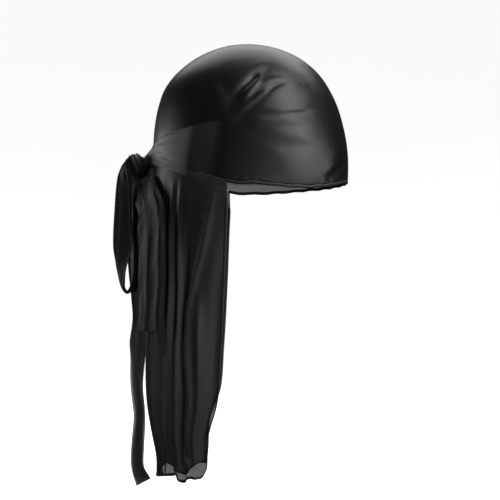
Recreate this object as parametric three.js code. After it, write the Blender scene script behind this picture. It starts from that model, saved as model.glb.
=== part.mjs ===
// A silky durag as worn and tied: a two-panel crown with a seam over the middle, a hemmed brow edge,
// a long rear cape, two side ties wrapped round to the back, their knot, one half-bow loop and two tails.
// Millimetres. +X is the wearer's front, +Y the wearer's left, +Z up.
// The origin is the middle of the head opening, level with the brow edge.
import * as THREE from "three";

// Driving sizes
const CROWN_HEIGHT = 144; // head opening to the top of the crown, on the middle of the cloth
const CROWN_FRONT = 99.5; // opening's middle to the brow
const CROWN_BACK = 98.5; // opening's middle to the back of the head
const CROWN_HALF_WIDTH = 78.5;
const WIDEST_AT = -9; // the head is widest a little behind the opening's middle
const SQUARENESS = 2.25; // of the head's plan: 2 would be an ellipse
const CAPE_LENGTH = 326; // from the crown's back edge to the cape's lowest hem
const CAPE_WIDTH = 250; // round the cape from one front edge to the other
const CAPE_START = -22; // where the cape's front edge leaves the crown, along X
const CAPE_RELEASE = 40; // drop within which the cape leaves the head's shape
const LOOP_LENGTH = 130; // from the knot's middle to the bottom of the loop
const SHORT_TAIL_LENGTH = 180; // from the knot's middle to the hem
const LONG_TAIL_LENGTH = 327;
const LOOP_WIDTH = 20;
const SHORT_TAIL_WIDTH = 41;
const LONG_TAIL_WIDTH = 20;
const SWING = 20; // by which the straps stray from the knot's middle
const CLOTH_WALL = 1.2;
const HEM_WALL = 1.8;
const HEM_HEIGHT = 4;
const SEAM_WIDTH = 7;
const CLEARANCE = 0.3;
const FACET_SAG = 0.25; // by which a facet's middle lies inside the curve it follows

// The knot's half sizes, and the depth of the creases between its wraps
const KNOT_HALF_LENGTH = 13.5;
const KNOT_HALF_WIDTH = 14;
const KNOT_HALF_HEIGHT = 12;
const KNOT_CREASE = 1.1;
const KNOT_WRAPS = 3;
const KNOT_TWIST = 2.2; // half turns by which a crease slants from the bottom to the middle
const KNOT_AT = { x: -CROWN_BACK - 18.5, y: -2, z: 18.5 };

// Heights and widths that the shares in the tables of folds and pleats are taken of
const CROWN_FOLD_HEIGHT = 2.4;
const CROWN_FOLD_WIDTH = 6;
const CAPE_FOLD_HEIGHT = 5;
const PLEAT_HEIGHT = 2.8;
const FOLD_FADE = 16; // length in which the crown's folds die out beside a tie
const FOLD_RISE = 30; // distance from the centre seam in which they grow
const FOLD_END = 0.3; // share of a fold's length in which it dies out at either end

// Distances between the middles of two layers of cloth
const TIE_SEAT = HEM_WALL / 2 + CLEARANCE + FACET_SAG + CLOTH_WALL / 2;
const SEAM_SEAT = CLOTH_WALL + CLEARANCE + FACET_SAG;
const HEM_STEP = HEM_HEIGHT + CLEARANCE;

// Shares of the cape's width and length that its hem and the gap beside it take
const HEM_GAP = 1.6 * CLEARANCE; // leaves the clearance between facets that don't quite line up
const HEM_ACROSS = HEM_HEIGHT / CAPE_WIDTH;
const HEM_DOWN = HEM_HEIGHT / CAPE_LENGTH;
const GAP_ACROSS = HEM_GAP / CAPE_WIDTH;
const GAP_DOWN = HEM_GAP / CAPE_LENGTH;
const CORNER_SHARE = 0.12; // of the width, within which the lower edge rises to the front edge
const CORNER_SLANT = 2.4;

const BROW_HEM_END = 0.535; // share of the half turn round the head at which the brow hem ends
const SIDE_TURNS = { low: 0.4, high: 0.8 }; // shares of the half turn that lie beside the head
const SMALL_STEP = 1e-3; // share of a surface over which its direction is measured
const BISECTIONS = 24;
const SMALLEST_EDGE_PRODUCT = 1e-6; // triangles below this, in mm2, are points or lines

// Head sections from below the brow edge to the top, as shares of the driving sizes
const CROWN_SECTIONS = [
  { height: -0.09, front: 0.985, back: 0.972, width: 0.925 },
  { height: 0.0, front: 1.0, back: 0.986, width: 0.955 },
  { height: 0.11, front: 1.006, back: 0.996, width: 0.98 },
  { height: 0.22, front: 1.002, back: 1.0, width: 0.996 },
  { height: 0.33, front: 0.982, back: 0.997, width: 1.0 },
  { height: 0.44, front: 0.947, back: 0.981, width: 0.988 },
  { height: 0.55, front: 0.9, back: 0.95, width: 0.957 },
  { height: 0.66, front: 0.828, back: 0.895, width: 0.902 },
  { height: 0.76, front: 0.735, back: 0.795, width: 0.82 },
  { height: 0.85, front: 0.6, back: 0.65, width: 0.69 },
  { height: 0.925, front: 0.43, back: 0.47, width: 0.51 },
  { height: 0.975, front: 0.23, back: 0.265, width: 0.29 },
  { height: 1.0, front: 0.0, back: 0.02, width: 0.0 },
];

// Height of the crown's lower edge, by the share of the half turn from the brow (0) to the back (1)
const CROWN_EDGE = [
  { turn: 0.0, height: 0.048 },
  { turn: 0.15, height: 0.034 },
  { turn: 0.3, height: 0.012 },
  { turn: 0.45, height: 0.012 },
  { turn: 0.53, height: 0.014 },
  { turn: 0.6, height: 0.034 },
  { turn: 0.75, height: 0.085 },
  { turn: 0.9, height: 0.16 },
  { turn: 1.0, height: 0.18 },
];

// Folds drawn towards the ties: both ends in the side view as shares of the crown's front reach and
// height, half width and height as shares of the named ones (a valley's height is negative)
const RIGHT_FOLDS = [
  { x1: 0.03, z1: 0.77, x2: -0.17, z2: 0.58, wide: 1.0, tall: -0.9 },
  { x1: 0.11, z1: 0.76, x2: -0.1, z2: 0.56, wide: 1.0, tall: 1.0 },
  { x1: 0.39, z1: 0.71, x2: -0.1, z2: 0.51, wide: 0.9, tall: -0.85 },
  { x1: 0.42, z1: 0.77, x2: 0.02, z2: 0.62, wide: 1.0, tall: 0.8 },
  { x1: 0.68, z1: 0.54, x2: 0.08, z2: 0.47, wide: 1.0, tall: -0.65 },
  { x1: 0.66, z1: 0.61, x2: 0.1, z2: 0.53, wide: 1.0, tall: 0.75 },
  { x1: 0.62, z1: 0.42, x2: 0.05, z2: 0.41, wide: 1.3, tall: 0.5 },
  { x1: 0.98, z1: 0.2, x2: 0.8, z2: 0.04, wide: 1.2, tall: 0.5 },
];
const LEFT_FOLDS = [
  { x1: 0.08, z1: 0.78, x2: -0.14, z2: 0.57, wide: 1.0, tall: -0.85 },
  { x1: 0.2, z1: 0.77, x2: -0.08, z2: 0.56, wide: 1.1, tall: 0.9 },
  { x1: 0.5, z1: 0.67, x2: 0.0, z2: 0.5, wide: 1.0, tall: -0.75 },
  { x1: 0.6, z1: 0.62, x2: 0.06, z2: 0.53, wide: 1.1, tall: 0.65 },
  { x1: 0.66, z1: 0.43, x2: 0.06, z2: 0.42, wide: 1.3, tall: 0.55 },
];

// The cape going down, by the share of its length: where its front edge lies as a share of its start,
// its back and its half width as shares of the crown's, and how far its folds have opened
const CAPE_DEPTHS = [
  { depth: 0.0, front: 1.0, back: 1.0, width: 1.0, open: 0 },
  { depth: 0.08, front: 0.95, back: 1.01, width: 0.99, open: 0.05 },
  { depth: 0.2, front: 1.05, back: 1.035, width: 0.94, open: 0.55 },
  { depth: 0.4, front: 1.16, back: 1.066, width: 0.87, open: 0.85 },
  { depth: 0.6, front: 1.32, back: 1.086, width: 0.82, open: 1 },
  { depth: 0.75, front: 1.5, back: 1.076, width: 0.78, open: 1 },
  { depth: 0.85, front: 1.84, back: 1.04, width: 0.75, open: 0.95 },
  { depth: 0.93, front: 1.93, back: 1.0, width: 0.72, open: 0.9 },
  { depth: 1.0, front: 2.0, back: 0.985, width: 0.7, open: 0.85 },
];

// The cape's lower edge across, from the wearer's right front corner to the left one, as shares
const CAPE_HEM = [
  { across: 0.0, depth: 0.9 },
  { across: 0.04, depth: 0.945 },
  { across: 0.1, depth: 0.97 },
  { across: 0.2, depth: 0.98 },
  { across: 0.35, depth: 0.972 },
  { across: 0.5, depth: 0.972 },
  { across: 0.65, depth: 0.985 },
  { across: 0.75, depth: 1.0 },
  { across: 0.85, depth: 0.98 },
  { across: 0.93, depth: 0.94 },
  { across: 0.97, depth: 0.9 },
  { across: 1.0, depth: 0.84 },
];

// The cape's folds: place across at the top, drift on the way down and half width as shares of the
// cape's width, and height outwards as a share of the named one
const CAPE_FOLDS = [
  { across: 0.05, drift: 0.0, wide: 0.035, tall: 0.7 },
  { across: 0.11, drift: 0.05, wide: 0.03, tall: -0.9 },
  { across: 0.17, drift: 0.1, wide: 0.035, tall: 1.1 },
  { across: 0.27, drift: 0.04, wide: 0.035, tall: -1.0 },
  { across: 0.33, drift: 0.03, wide: 0.03, tall: 1.0 },
  { across: 0.385, drift: 0.01, wide: 0.028, tall: -0.9 },
  { across: 0.44, drift: 0.0, wide: 0.03, tall: 0.4 },
  { across: 0.5, drift: 0.0, wide: 0.03, tall: -0.8 },
  { across: 0.56, drift: 0.0, wide: 0.03, tall: 0.5 },
  { across: 0.62, drift: -0.01, wide: 0.032, tall: -0.9 },
  { across: 0.68, drift: -0.02, wide: 0.032, tall: 1.0 },
  { across: 0.75, drift: -0.04, wide: 0.035, tall: -1.0 },
  { across: 0.84, drift: -0.06, wide: 0.04, tall: 1.0 },
  { across: 0.93, drift: -0.02, wide: 0.035, tall: -0.8 },
];

// Each side tie, from where it leaves the crown to the knot: share of the half turn round the head of
// its lower and its upper edge, their heights as shares of the crown's, and how far it has left the head
const TIE_BAND = [
  { along: 0.0, lowTurn: 0.56, highTurn: 0.5, low: -0.01, high: 0.389, leave: 0 },
  { along: 0.2, lowTurn: 0.63, highTurn: 0.585, low: 0.01, high: 0.382, leave: 0 },
  { along: 0.4, lowTurn: 0.7, highTurn: 0.67, low: 0.042, high: 0.354, leave: 0 },
  { along: 0.6, lowTurn: 0.79, highTurn: 0.76, low: 0.083, high: 0.323, leave: 0 },
  { along: 0.8, lowTurn: 0.88, highTurn: 0.86, low: 0.122, high: 0.292, leave: 0 },
  { along: 0.9, lowTurn: 0.94, highTurn: 0.93, low: 0.135, high: 0.25, leave: 0.02 },
  { along: 1.0, lowTurn: 0.985, highTurn: 0.98, low: 0.111, high: 0.194, leave: 1 },
];
// Where each tie reaches the knot, as shares of the knot's half sizes from its middle
const RIGHT_TIE_END = { x: 0.85, y: -0.54 };
const LEFT_TIE_END = { x: 0.755, y: 0.68 };

// The loop and the tails, from the knot's middle: middle line along X and Y as shares of SWING and down
// as a share of the strap's length, width as a share of the strap's, turn of the width about the line
// from the wearer's left-to-right direction in degrees, and pleat height as a share of the named one
const LOOP = [
  { x: -0.53, y: -0.25, down: -0.067, width: 0.6, turn: 0, pleat: 0.1 },
  { x: -0.74, y: -0.44, down: 0.005, width: 0.75, turn: -20, pleat: 0.2 },
  { x: -0.7, y: -0.63, down: 0.14, width: 0.85, turn: -45, pleat: 0.35 },
  { x: -0.67, y: -0.75, down: 0.45, width: 1.0, turn: -62, pleat: 0.4 },
  { x: -0.66, y: -0.75, down: 0.68, width: 0.98, turn: -60, pleat: 0.35 },
  { x: -0.72, y: -0.73, down: 0.84, width: 0.68, turn: -48, pleat: 0.25 },
  { x: -0.6, y: -0.7, down: 0.945, width: 0.62, turn: -24, pleat: 0.2 },
  { x: -0.35, y: -0.67, down: 0.99, width: 0.62, turn: -10, pleat: 0.2 },
  { x: -0.13, y: -0.63, down: 0.93, width: 0.62, turn: 0, pleat: 0.2 },
  { x: -0.08, y: -0.58, down: 0.8, width: 0.65, turn: 20, pleat: 0.2 },
  { x: -0.18, y: -0.5, down: 0.5, width: 0.65, turn: 30, pleat: 0.2 },
  { x: -0.26, y: -0.4, down: 0.23, width: 0.6, turn: 24, pleat: 0.2 },
  { x: -0.26, y: -0.3, down: 0.097, width: 0.5, turn: 0, pleat: 0.1 },
];
const SHORT_TAIL = [
  { x: 0.135, y: -0.21, down: 0.067, width: 0.29, turn: -50, pleat: 0.35 },
  { x: 0.25, y: -0.6, down: 0.11, width: 0.45, turn: -50, pleat: 0.45 },
  { x: 0.47, y: -1.22, down: 0.17, width: 0.68, turn: -49, pleat: 0.55 },
  { x: 0.7, y: -1.78, down: 0.25, width: 0.87, turn: -48, pleat: 0.7 },
  { x: 0.82, y: -2.08, down: 0.36, width: 0.95, turn: -47, pleat: 0.8 },
  { x: 0.9, y: -2.18, down: 0.54, width: 0.98, turn: -46, pleat: 0.9 },
  { x: 0.95, y: -2.18, down: 0.74, width: 1.0, turn: -45, pleat: 1.0 },
  { x: 0.95, y: -2.18, down: 0.89, width: 1.0, turn: -45, pleat: 1.0 },
  { x: 0.92, y: -2.15, down: 1.0, width: 0.98, turn: -45, pleat: 0.9 },
];
const LONG_TAIL = [
  { x: 0.01, y: 0.2, down: 0.034, width: 0.55, turn: 30, pleat: 0.3 },
  { x: -0.05, y: 0.33, down: 0.12, width: 0.9, turn: 40, pleat: 0.55 },
  { x: -0.1, y: 0.33, down: 0.27, width: 1.0, turn: 48, pleat: 0.7 },
  { x: -0.06, y: 0.25, down: 0.455, width: 1.0, turn: 50, pleat: 0.7 },
  { x: 0.03, y: 0.1, down: 0.58, width: 1.0, turn: 50, pleat: 0.8 },
  { x: 0.06, y: 0.0, down: 0.68, width: 0.85, turn: 48, pleat: 0.65 },
  { x: 0.2, y: -0.05, down: 0.805, width: 0.82, turn: 42, pleat: 0.65 },
  { x: 0.14, y: -0.05, down: 0.91, width: 0.85, turn: 44, pleat: 0.55 },
  { x: 0.38, y: -0.05, down: 1.0, width: 0.95, turn: 55, pleat: 0.4 },
];
const LOOP_PLEATS = 1;
const SHORT_TAIL_PLEATS = 2;
const LONG_TAIL_PLEATS = 1.5;

// Grid steps of each piece
const STEPS = {
  crown: { along: 30, up: 17 },
  cape: { along: 42, up: 14 },
  band: { along: 14, up: 7 },
  loop: { along: 30, up: 4 },
  tail: { along: 16, up: 9 },
  longTail: { along: 20, up: 6 },
  hem: { along: 40, up: 1 },
  seam: { along: 40, up: 2 },
  knot: { along: 16, up: 12 },
};

// Black satin: colour and roughness of each kind of piece
const CROWN_LOOK = { color: 0x1b1b1c, roughness: 0.45, metalness: 0 };
const CAPE_LOOK = { color: 0x1d1d1e, roughness: 0.47, metalness: 0 };
const TIE_LOOK = { color: 0x191919, roughness: 0.43, metalness: 0 };
const HEM_LOOK = { color: 0x121213, roughness: 0.6, metalness: 0 };

// Interpolation in a table

function spline(before, from, to, after, share) {
  const square = share * share;
  const cube = square * share;
  return 0.5 * (2 * from + (to - before) * share + (2 * before - 5 * from + 4 * to - after) * square
    + (3 * from - before - 3 * to + after) * cube);
}

// The row at a place between the table's rows, counted in rows; mirrorEnd lets widths pass smoothly
// through nothing at the last row, as over the top of a dome.
function rowAt(table, place, mirrorEnd = false) {
  const last = table.length - 1;
  const index = Math.min(Math.max(Math.floor(place), 0), last - 1);
  const share = Math.min(Math.max(place - index, 0), 1);
  const row = {};
  for (const column of Object.keys(table[0])) {
    const value = (i) => {
      if (i < 0) return 2 * table[0][column] - table[1][column];
      if (i <= last) return table[i][column];
      const sign = mirrorEnd && column !== "height" ? -1 : 1;
      const next = table[last - 1][column];
      return mirrorEnd ? sign * next : 2 * table[last][column] - next;
    };
    row[column] = spline(value(index - 1), value(index), value(index + 1), value(index + 2), share);
  }
  return row;
}

// The row at which a rising column reaches a value.
function rowWhere(table, column, wanted, mirrorEnd = false) {
  const last = table.length - 1;
  let index = 0;
  while (index < last - 1 && table[index + 1][column] < wanted) index += 1;
  let low = index;
  let high = index + 1;
  for (let pass = 0; pass < BISECTIONS; pass += 1) {
    const middle = (low + high) / 2;
    if (rowAt(table, middle, mirrorEnd)[column] < wanted) low = middle;
    else high = middle;
  }
  return (low + high) / 2;
}

function easeIn(share) {
  const held = Math.min(Math.max(share, 0), 1);
  return held * held * (3 - 2 * held);
}

// Closed sheets of cloth

function normalAt(pointAt, u, v) {
  const step = SMALL_STEP;
  const uIn = Math.min(Math.max(u, step), 1 - step);
  const vIn = Math.min(Math.max(v, step), 1 - step);
  const alongU = pointAt(uIn + step, vIn).sub(pointAt(uIn - step, vIn));
  const alongV = pointAt(uIn, vIn + step).sub(pointAt(uIn, vIn - step));
  return alongU.cross(alongV).normalize();
}

// A closed wall of even thickness about the surface pointAt(u, v), with u and v from 0 to 1.
function clothSheet(pointAt, uSteps, vSteps, wall) {
  const outer = [];
  const inner = [];
  for (let i = 0; i <= uSteps; i += 1) {
    for (let j = 0; j <= vSteps; j += 1) {
      const point = pointAt(i / uSteps, j / vSteps);
      const normal = normalAt(pointAt, i / uSteps, j / vSteps);
      outer.push(point.clone().addScaledVector(normal, wall / 2));
      inner.push(point.clone().addScaledVector(normal, -wall / 2));
    }
  }
  const at = (i, j) => i * (vSteps + 1) + j;
  const triangles = [];
  const quad = (a, b, c, d) => triangles.push([a, b, c], [a, c, d]);
  for (let i = 0; i < uSteps; i += 1) {
    for (let j = 0; j < vSteps; j += 1) {
      const [a, b, c, d] = [at(i, j), at(i + 1, j), at(i + 1, j + 1), at(i, j + 1)];
      quad(outer[a], outer[b], outer[c], outer[d]);
      quad(inner[d], inner[c], inner[b], inner[a]);
    }
  }
  for (let i = 0; i < uSteps; i += 1) {
    const [a, b, c, d] = [at(i, 0), at(i + 1, 0), at(i, vSteps), at(i + 1, vSteps)];
    quad(inner[a], inner[b], outer[b], outer[a]);
    quad(outer[c], outer[d], inner[d], inner[c]);
  }
  for (let j = 0; j < vSteps; j += 1) {
    const [a, b, c, d] = [at(0, j), at(0, j + 1), at(uSteps, j), at(uSteps, j + 1)];
    quad(outer[a], outer[b], inner[b], inner[a]);
    quad(inner[c], inner[d], outer[d], outer[c]);
  }
  return solidFrom(triangles);
}

function solidFrom(triangles) {
  const edgeAB = new THREE.Vector3();
  const edgeAC = new THREE.Vector3();
  const kept = triangles.filter(([a, b, c]) => {
    edgeAB.subVectors(b, a);
    edgeAC.subVectors(c, a);
    return edgeAB.cross(edgeAC).length() > SMALLEST_EDGE_PRODUCT;
  });
  const positions = new Float32Array(kept.flat().flatMap((point) => [point.x, point.y, point.z]));
  const geometry = new THREE.BufferGeometry();
  geometry.setAttribute("position", new THREE.BufferAttribute(positions, 3));
  geometry.computeVertexNormals();
  return geometry;
}

// The head's shape

// The head's section at a place in the table of sections, with its sizes in mm.
function sectionAt(place) {
  const row = rowAt(CROWN_SECTIONS, place, true);
  return {
    height: row.height * CROWN_HEIGHT,
    front: row.front * CROWN_FRONT,
    back: -row.back * CROWN_BACK,
    halfWidth: row.width * CROWN_HALF_WIDTH,
  };
}

function placeAtHeight(height) {
  return rowWhere(CROWN_SECTIONS, "height", height / CROWN_HEIGHT, true);
}

// A point on the head's section: turn is the share of the half turn from the brow to the back, and side
// is -1 on the wearer's right and 1 on the left.
function headPoint(place, turn, side) {
  const section = sectionAt(place);
  const angle = turn * Math.PI;
  const power = 2 / SQUARENESS;
  const cosine = Math.cos(angle);
  const reach = Math.abs(cosine) ** power;
  const middle = WIDEST_AT * Math.min(1, (2 * section.halfWidth) / CROWN_HALF_WIDTH);
  const x = middle + reach * (cosine >= 0 ? section.front - middle : section.back - middle);
  return new THREE.Vector3(x, side * section.halfWidth * Math.sin(angle) ** power, section.height);
}

function foldHeight(folds, x, z) {
  let total = 0;
  for (const fold of folds) {
    const [x1, z1] = [fold.x1 * CROWN_FRONT, fold.z1 * CROWN_HEIGHT];
    const [x2, z2] = [fold.x2 * CROWN_FRONT, fold.z2 * CROWN_HEIGHT];
    const length = Math.hypot(x2 - x1, z2 - z1);
    const along = ((x - x1) * (x2 - x1) + (z - z1) * (z2 - z1)) / (length * length);
    const off = ((x - x1) * (z2 - z1) - (z - z1) * (x2 - x1)) / length;
    const ends = easeIn(along / FOLD_END + 0.5) * easeIn((1 - along) / FOLD_END + 0.5);
    const section = Math.exp(-((off / (fold.wide * CROWN_FOLD_WIDTH)) ** 2));
    total += fold.tall * CROWN_FOLD_HEIGHT * ends * section;
  }
  return total;
}

// A point on the crown, with its folds, which stand out square to the ellipsoid that the head nearly is.
function crownPoint(place, turn, side) {
  const point = headPoint(place, turn, side);
  const outwards = new THREE.Vector3(
    point.x / CROWN_FRONT ** 2,
    point.y / CROWN_HALF_WIDTH ** 2,
    Math.max(point.z, 0) / CROWN_HEIGHT ** 2,
  ).normalize();
  const clearOfTie = easeIn((point.x - CAPE_START) / FOLD_FADE);
  const onSide = easeIn((Math.abs(point.y) - SEAM_WIDTH) / FOLD_RISE);
  const folds = side < 0 ? RIGHT_FOLDS : LEFT_FOLDS;
  return point.addScaledVector(outwards, foldHeight(folds, point.x, point.z) * clearOfTie * onSide);
}

function crownEdge(turn) {
  return rowAt(CROWN_EDGE, rowWhere(CROWN_EDGE, "turn", turn)).height * CROWN_HEIGHT;
}

// The crown

function crownPanel(side) {
  const top = CROWN_SECTIONS.length - 1;
  const pointAt = (u, v) => {
    const turn = side < 0 ? 1 - u : u;
    const bottom = placeAtHeight(crownEdge(turn));
    const point = crownPoint(bottom + (top - bottom) * v, turn, side);
    point.y += side * (CLEARANCE / 2);
    return point;
  };
  return clothSheet(pointAt, STEPS.crown.along, STEPS.crown.up, CLOTH_WALL);
}

// The seam is a narrow flat ridge from the brow hem over the top to the back edge.
function seamPoint(share) {
  const top = CROWN_SECTIONS.length - 1;
  const front = placeAtHeight(crownEdge(0));
  const back = placeAtHeight(crownEdge(1));
  const run = (top - front) + (top - back);
  const gone = share * run;
  if (gone <= top - front) return headPoint(front + gone, 0, 1);
  return headPoint(top - (gone - (top - front)), 1, 1);
}

function centreSeam() {
  const pointAt = (u, v) => {
    const held = Math.min(Math.max(u, SMALL_STEP), 1 - SMALL_STEP);
    const along = seamPoint(held + SMALL_STEP).sub(seamPoint(held - SMALL_STEP)).normalize();
    const outwards = new THREE.Vector3(along.z, 0, -along.x);
    const point = seamPoint(u).addScaledVector(outwards, SEAM_SEAT);
    const across = (v - 0.5) * SEAM_WIDTH;
    point.y = across;
    point.addScaledVector(outwards, -(across * across) / (2 * CROWN_HALF_WIDTH));
    return point;
  };
  return clothSheet(pointAt, STEPS.seam.along, STEPS.seam.up, CLOTH_WALL);
}

// The brow hem runs below the crown's edge from one cape edge round the front to the other.
function browHem() {
  const pointAt = (u, v) => {
    const signed = (2 * u - 1) * BROW_HEM_END;
    const side = signed < 0 ? -1 : 1;
    const turn = Math.abs(signed);
    const height = crownEdge(turn) - HEM_STEP + v * HEM_HEIGHT;
    return headPoint(placeAtHeight(height), turn, side);
  };
  return clothSheet(pointAt, STEPS.hem.along, STEPS.hem.up, HEM_WALL);
}

// The cape

// The turn round the head at which the section reaches a place along X.
function turnAtX(x, height) {
  const place = placeAtHeight(height);
  let { low, high } = SIDE_TURNS;
  for (let pass = 0; pass < BISECTIONS; pass += 1) {
    const middle = (low + high) / 2;
    if (headPoint(place, middle, 1).x > x) low = middle;
    else high = middle;
  }
  return (low + high) / 2;
}

const CAPE_TURN = turnAtX(CAPE_START, crownEdge(BROW_HEM_END));

function capeFoldHeight(across, depth) {
  let total = 0;
  for (const fold of CAPE_FOLDS) {
    const middle = fold.across + fold.drift * depth;
    total += fold.tall * CAPE_FOLD_HEIGHT * Math.exp(-(((across - middle) / fold.wide) ** 2));
  }
  return total;
}

// A point of the cape: across runs from its right front edge round the back to the left one, and down
// from the crown's edge to the hem.
function capePoint(across, down) {
  const signed = 2 * across - 1;
  const side = signed < 0 ? -1 : 1;
  const turn = 1 - Math.abs(signed) * (1 - CAPE_TURN);
  const topHeight = crownEdge(turn) - HEM_GAP;
  const top = headPoint(placeAtHeight(topHeight), turn, side);
  const hem = rowAt(CAPE_HEM, rowWhere(CAPE_HEM, "across", across)).depth;
  const backTop = crownEdge(1) - HEM_GAP;
  const height = topHeight + (backTop - CAPE_LENGTH * hem - topHeight) * down;
  const depth = (backTop - height) / CAPE_LENGTH;
  const row = rowAt(CAPE_DEPTHS, rowWhere(CAPE_DEPTHS, "depth", depth));
  const [front, back] = [row.front * CAPE_START, -row.back * CROWN_BACK];
  const share = (top.x - CAPE_START) / (-CROWN_BACK - CAPE_START);
  const plan = new THREE.Vector3(front + share * (back - front), top.y * row.width, height);
  const released = easeIn((topHeight - height) / CAPE_RELEASE);
  const point = top.clone().lerp(plan, released);
  point.z = height;
  const outwards = new THREE.Vector3(Math.cos(turn * Math.PI), side * Math.sin(turn * Math.PI), 0);
  const fold = capeFoldHeight(across, depth) * Math.max(row.open, 0) * released;
  return point.addScaledVector(outwards, fold);
}

// How much taller the hem and its gap are, measured straight down, where the lower edge slants.
function slantAt(across) {
  const fromEdge = Math.min(across, 1 - across);
  return 1 + CORNER_SLANT * Math.exp(-((fromEdge / CORNER_SHARE) ** 2));
}

function cape() {
  const edge = HEM_ACROSS + GAP_ACROSS;
  const pointAt = (u, v) => {
    const across = edge + (1 - 2 * edge) * u;
    return capePoint(across, (1 - (HEM_DOWN + GAP_DOWN) * slantAt(across)) * (1 - v));
  };
  return clothSheet(pointAt, STEPS.cape.along, STEPS.cape.up, CLOTH_WALL);
}

// The cape's hem goes down one front edge, along the bottom and up the other.
function capeHem() {
  const sideSteps = STEPS.cape.up;
  const footSteps = STEPS.cape.along;
  const total = 2 * sideSteps + footSteps;
  const pointAt = (u, inset) => {
    const gone = u * total;
    const edge = HEM_ACROSS * inset;
    const inFoot = Math.min(Math.max((gone - sideSteps) / footSteps, 0), 1);
    const across = edge + (1 - 2 * edge) * inFoot;
    const foot = 1 - HEM_DOWN * inset * slantAt(across);
    const down = Math.min(gone, total - gone, sideSteps) / sideSteps;
    return capePoint(across, foot * down);
  };
  return clothSheet(pointAt, total, 1, HEM_WALL);
}

// The ties

function tieBand(side) {
  const pointAt = (u, v) => {
    const share = side < 0 ? u : 1 - u;
    const row = rowAt(TIE_BAND, rowWhere(TIE_BAND, "along", share));
    const turn = row.lowTurn + (row.highTurn - row.lowTurn) * v;
    const height = (row.low + (row.high - row.low) * v) * CROWN_HEIGHT;
    const place = placeAtHeight(height);
    const [before, after] = [turn - SMALL_STEP, turn + SMALL_STEP];
    const [below, above] = [place - SMALL_STEP, place + SMALL_STEP];
    const round = headPoint(place, after, side).sub(headPoint(place, before, side));
    const upwards = headPoint(above, turn, side).sub(headPoint(below, turn, side));
    const outwards = round.cross(upwards).multiplyScalar(side).normalize();
    const seated = headPoint(place, turn, side).addScaledVector(outwards, TIE_SEAT);
    const reached = side < 0 ? RIGHT_TIE_END : LEFT_TIE_END;
    const endX = KNOT_AT.x + reached.x * KNOT_HALF_LENGTH;
    const endY = KNOT_AT.y + reached.y * KNOT_HALF_WIDTH;
    const end = new THREE.Vector3(endX, endY, height);
    return seated.lerp(end, Math.max(row.leave, 0));
  };
  return clothSheet(pointAt, STEPS.band.along, STEPS.band.up, CLOTH_WALL);
}

// The knot is a rounded lump with slanting creases between its wraps.
function tieKnot() {
  const pointAt = (turn, rise) => {
    const around = turn * 2 * Math.PI;
    const up = (rise - 0.5) * Math.PI;
    const wraps = Math.cos(KNOT_WRAPS * around + KNOT_TWIST * Math.PI * Math.sin(up)) * Math.cos(up);
    const scale = 1 - (KNOT_CREASE / KNOT_HALF_LENGTH) * (1 - wraps);
    return new THREE.Vector3(
      KNOT_AT.x + KNOT_HALF_LENGTH * scale * Math.cos(up) * Math.cos(around),
      KNOT_AT.y + KNOT_HALF_WIDTH * scale * Math.cos(up) * Math.sin(around),
      KNOT_AT.z + KNOT_HALF_HEIGHT * scale * Math.sin(up),
    );
  };
  const { along, up } = STEPS.knot;
  const triangles = [];
  for (let i = 0; i < along; i += 1) {
    for (let j = 0; j < up; j += 1) {
      const corner = (di, dj) => pointAt(((i + di) % along) / along, (j + dj) / up);
      triangles.push([corner(0, 0), corner(1, 0), corner(1, 1)], [corner(0, 0), corner(1, 1), corner(0, 1)]);
    }
  }
  return solidFrom(triangles);
}

// A point on a strap's middle line, with its width, turn and pleat height there.
function strapRow(table, length, width, share) {
  const row = rowAt(table, share * (table.length - 1));
  return {
    middle: new THREE.Vector3(
      KNOT_AT.x + row.x * SWING,
      KNOT_AT.y + row.y * SWING,
      KNOT_AT.z - row.down * length,
    ),
    width: row.width * width,
    turn: THREE.MathUtils.degToRad(row.turn),
    pleat: row.pleat * PLEAT_HEIGHT,
  };
}

// A strap along a table's middle line, with soft pleats across its width.
function strap(table, length, width, pleats, steps) {
  const rowWithin = (share) => strapRow(table, length, width, share);
  const pointAt = (u, v) => {
    const held = Math.min(Math.max(u, SMALL_STEP), 1 - SMALL_STEP);
    const row = rowWithin(u);
    const along = rowWithin(held + SMALL_STEP).middle.sub(rowWithin(held - SMALL_STEP).middle).normalize();
    const across = new THREE.Vector3(0, 1, 0).addScaledVector(along, -along.y).normalize();
    across.applyAxisAngle(along, row.turn);
    const normal = along.clone().cross(across);
    const ripple = Math.cos((v - 0.5) * 2 * Math.PI * pleats) * row.pleat;
    return row.middle
      .addScaledVector(across, (v - 0.5) * row.width)
      .addScaledVector(normal, ripple);
  };
  return clothSheet(pointAt, steps.along, steps.up, CLOTH_WALL);
}

// Assembly

function addPiece(group, name, geometry, look) {
  const mesh = new THREE.Mesh(geometry, new THREE.MeshStandardMaterial(look));
  mesh.name = name;
  group.add(mesh);
}

const tieLoop = strap(LOOP, LOOP_LENGTH, LOOP_WIDTH, LOOP_PLEATS, STEPS.loop);
const shortTail = strap(SHORT_TAIL, SHORT_TAIL_LENGTH, SHORT_TAIL_WIDTH, SHORT_TAIL_PLEATS, STEPS.tail);
const longTail = strap(LONG_TAIL, LONG_TAIL_LENGTH, LONG_TAIL_WIDTH, LONG_TAIL_PLEATS, STEPS.longTail);

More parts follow.
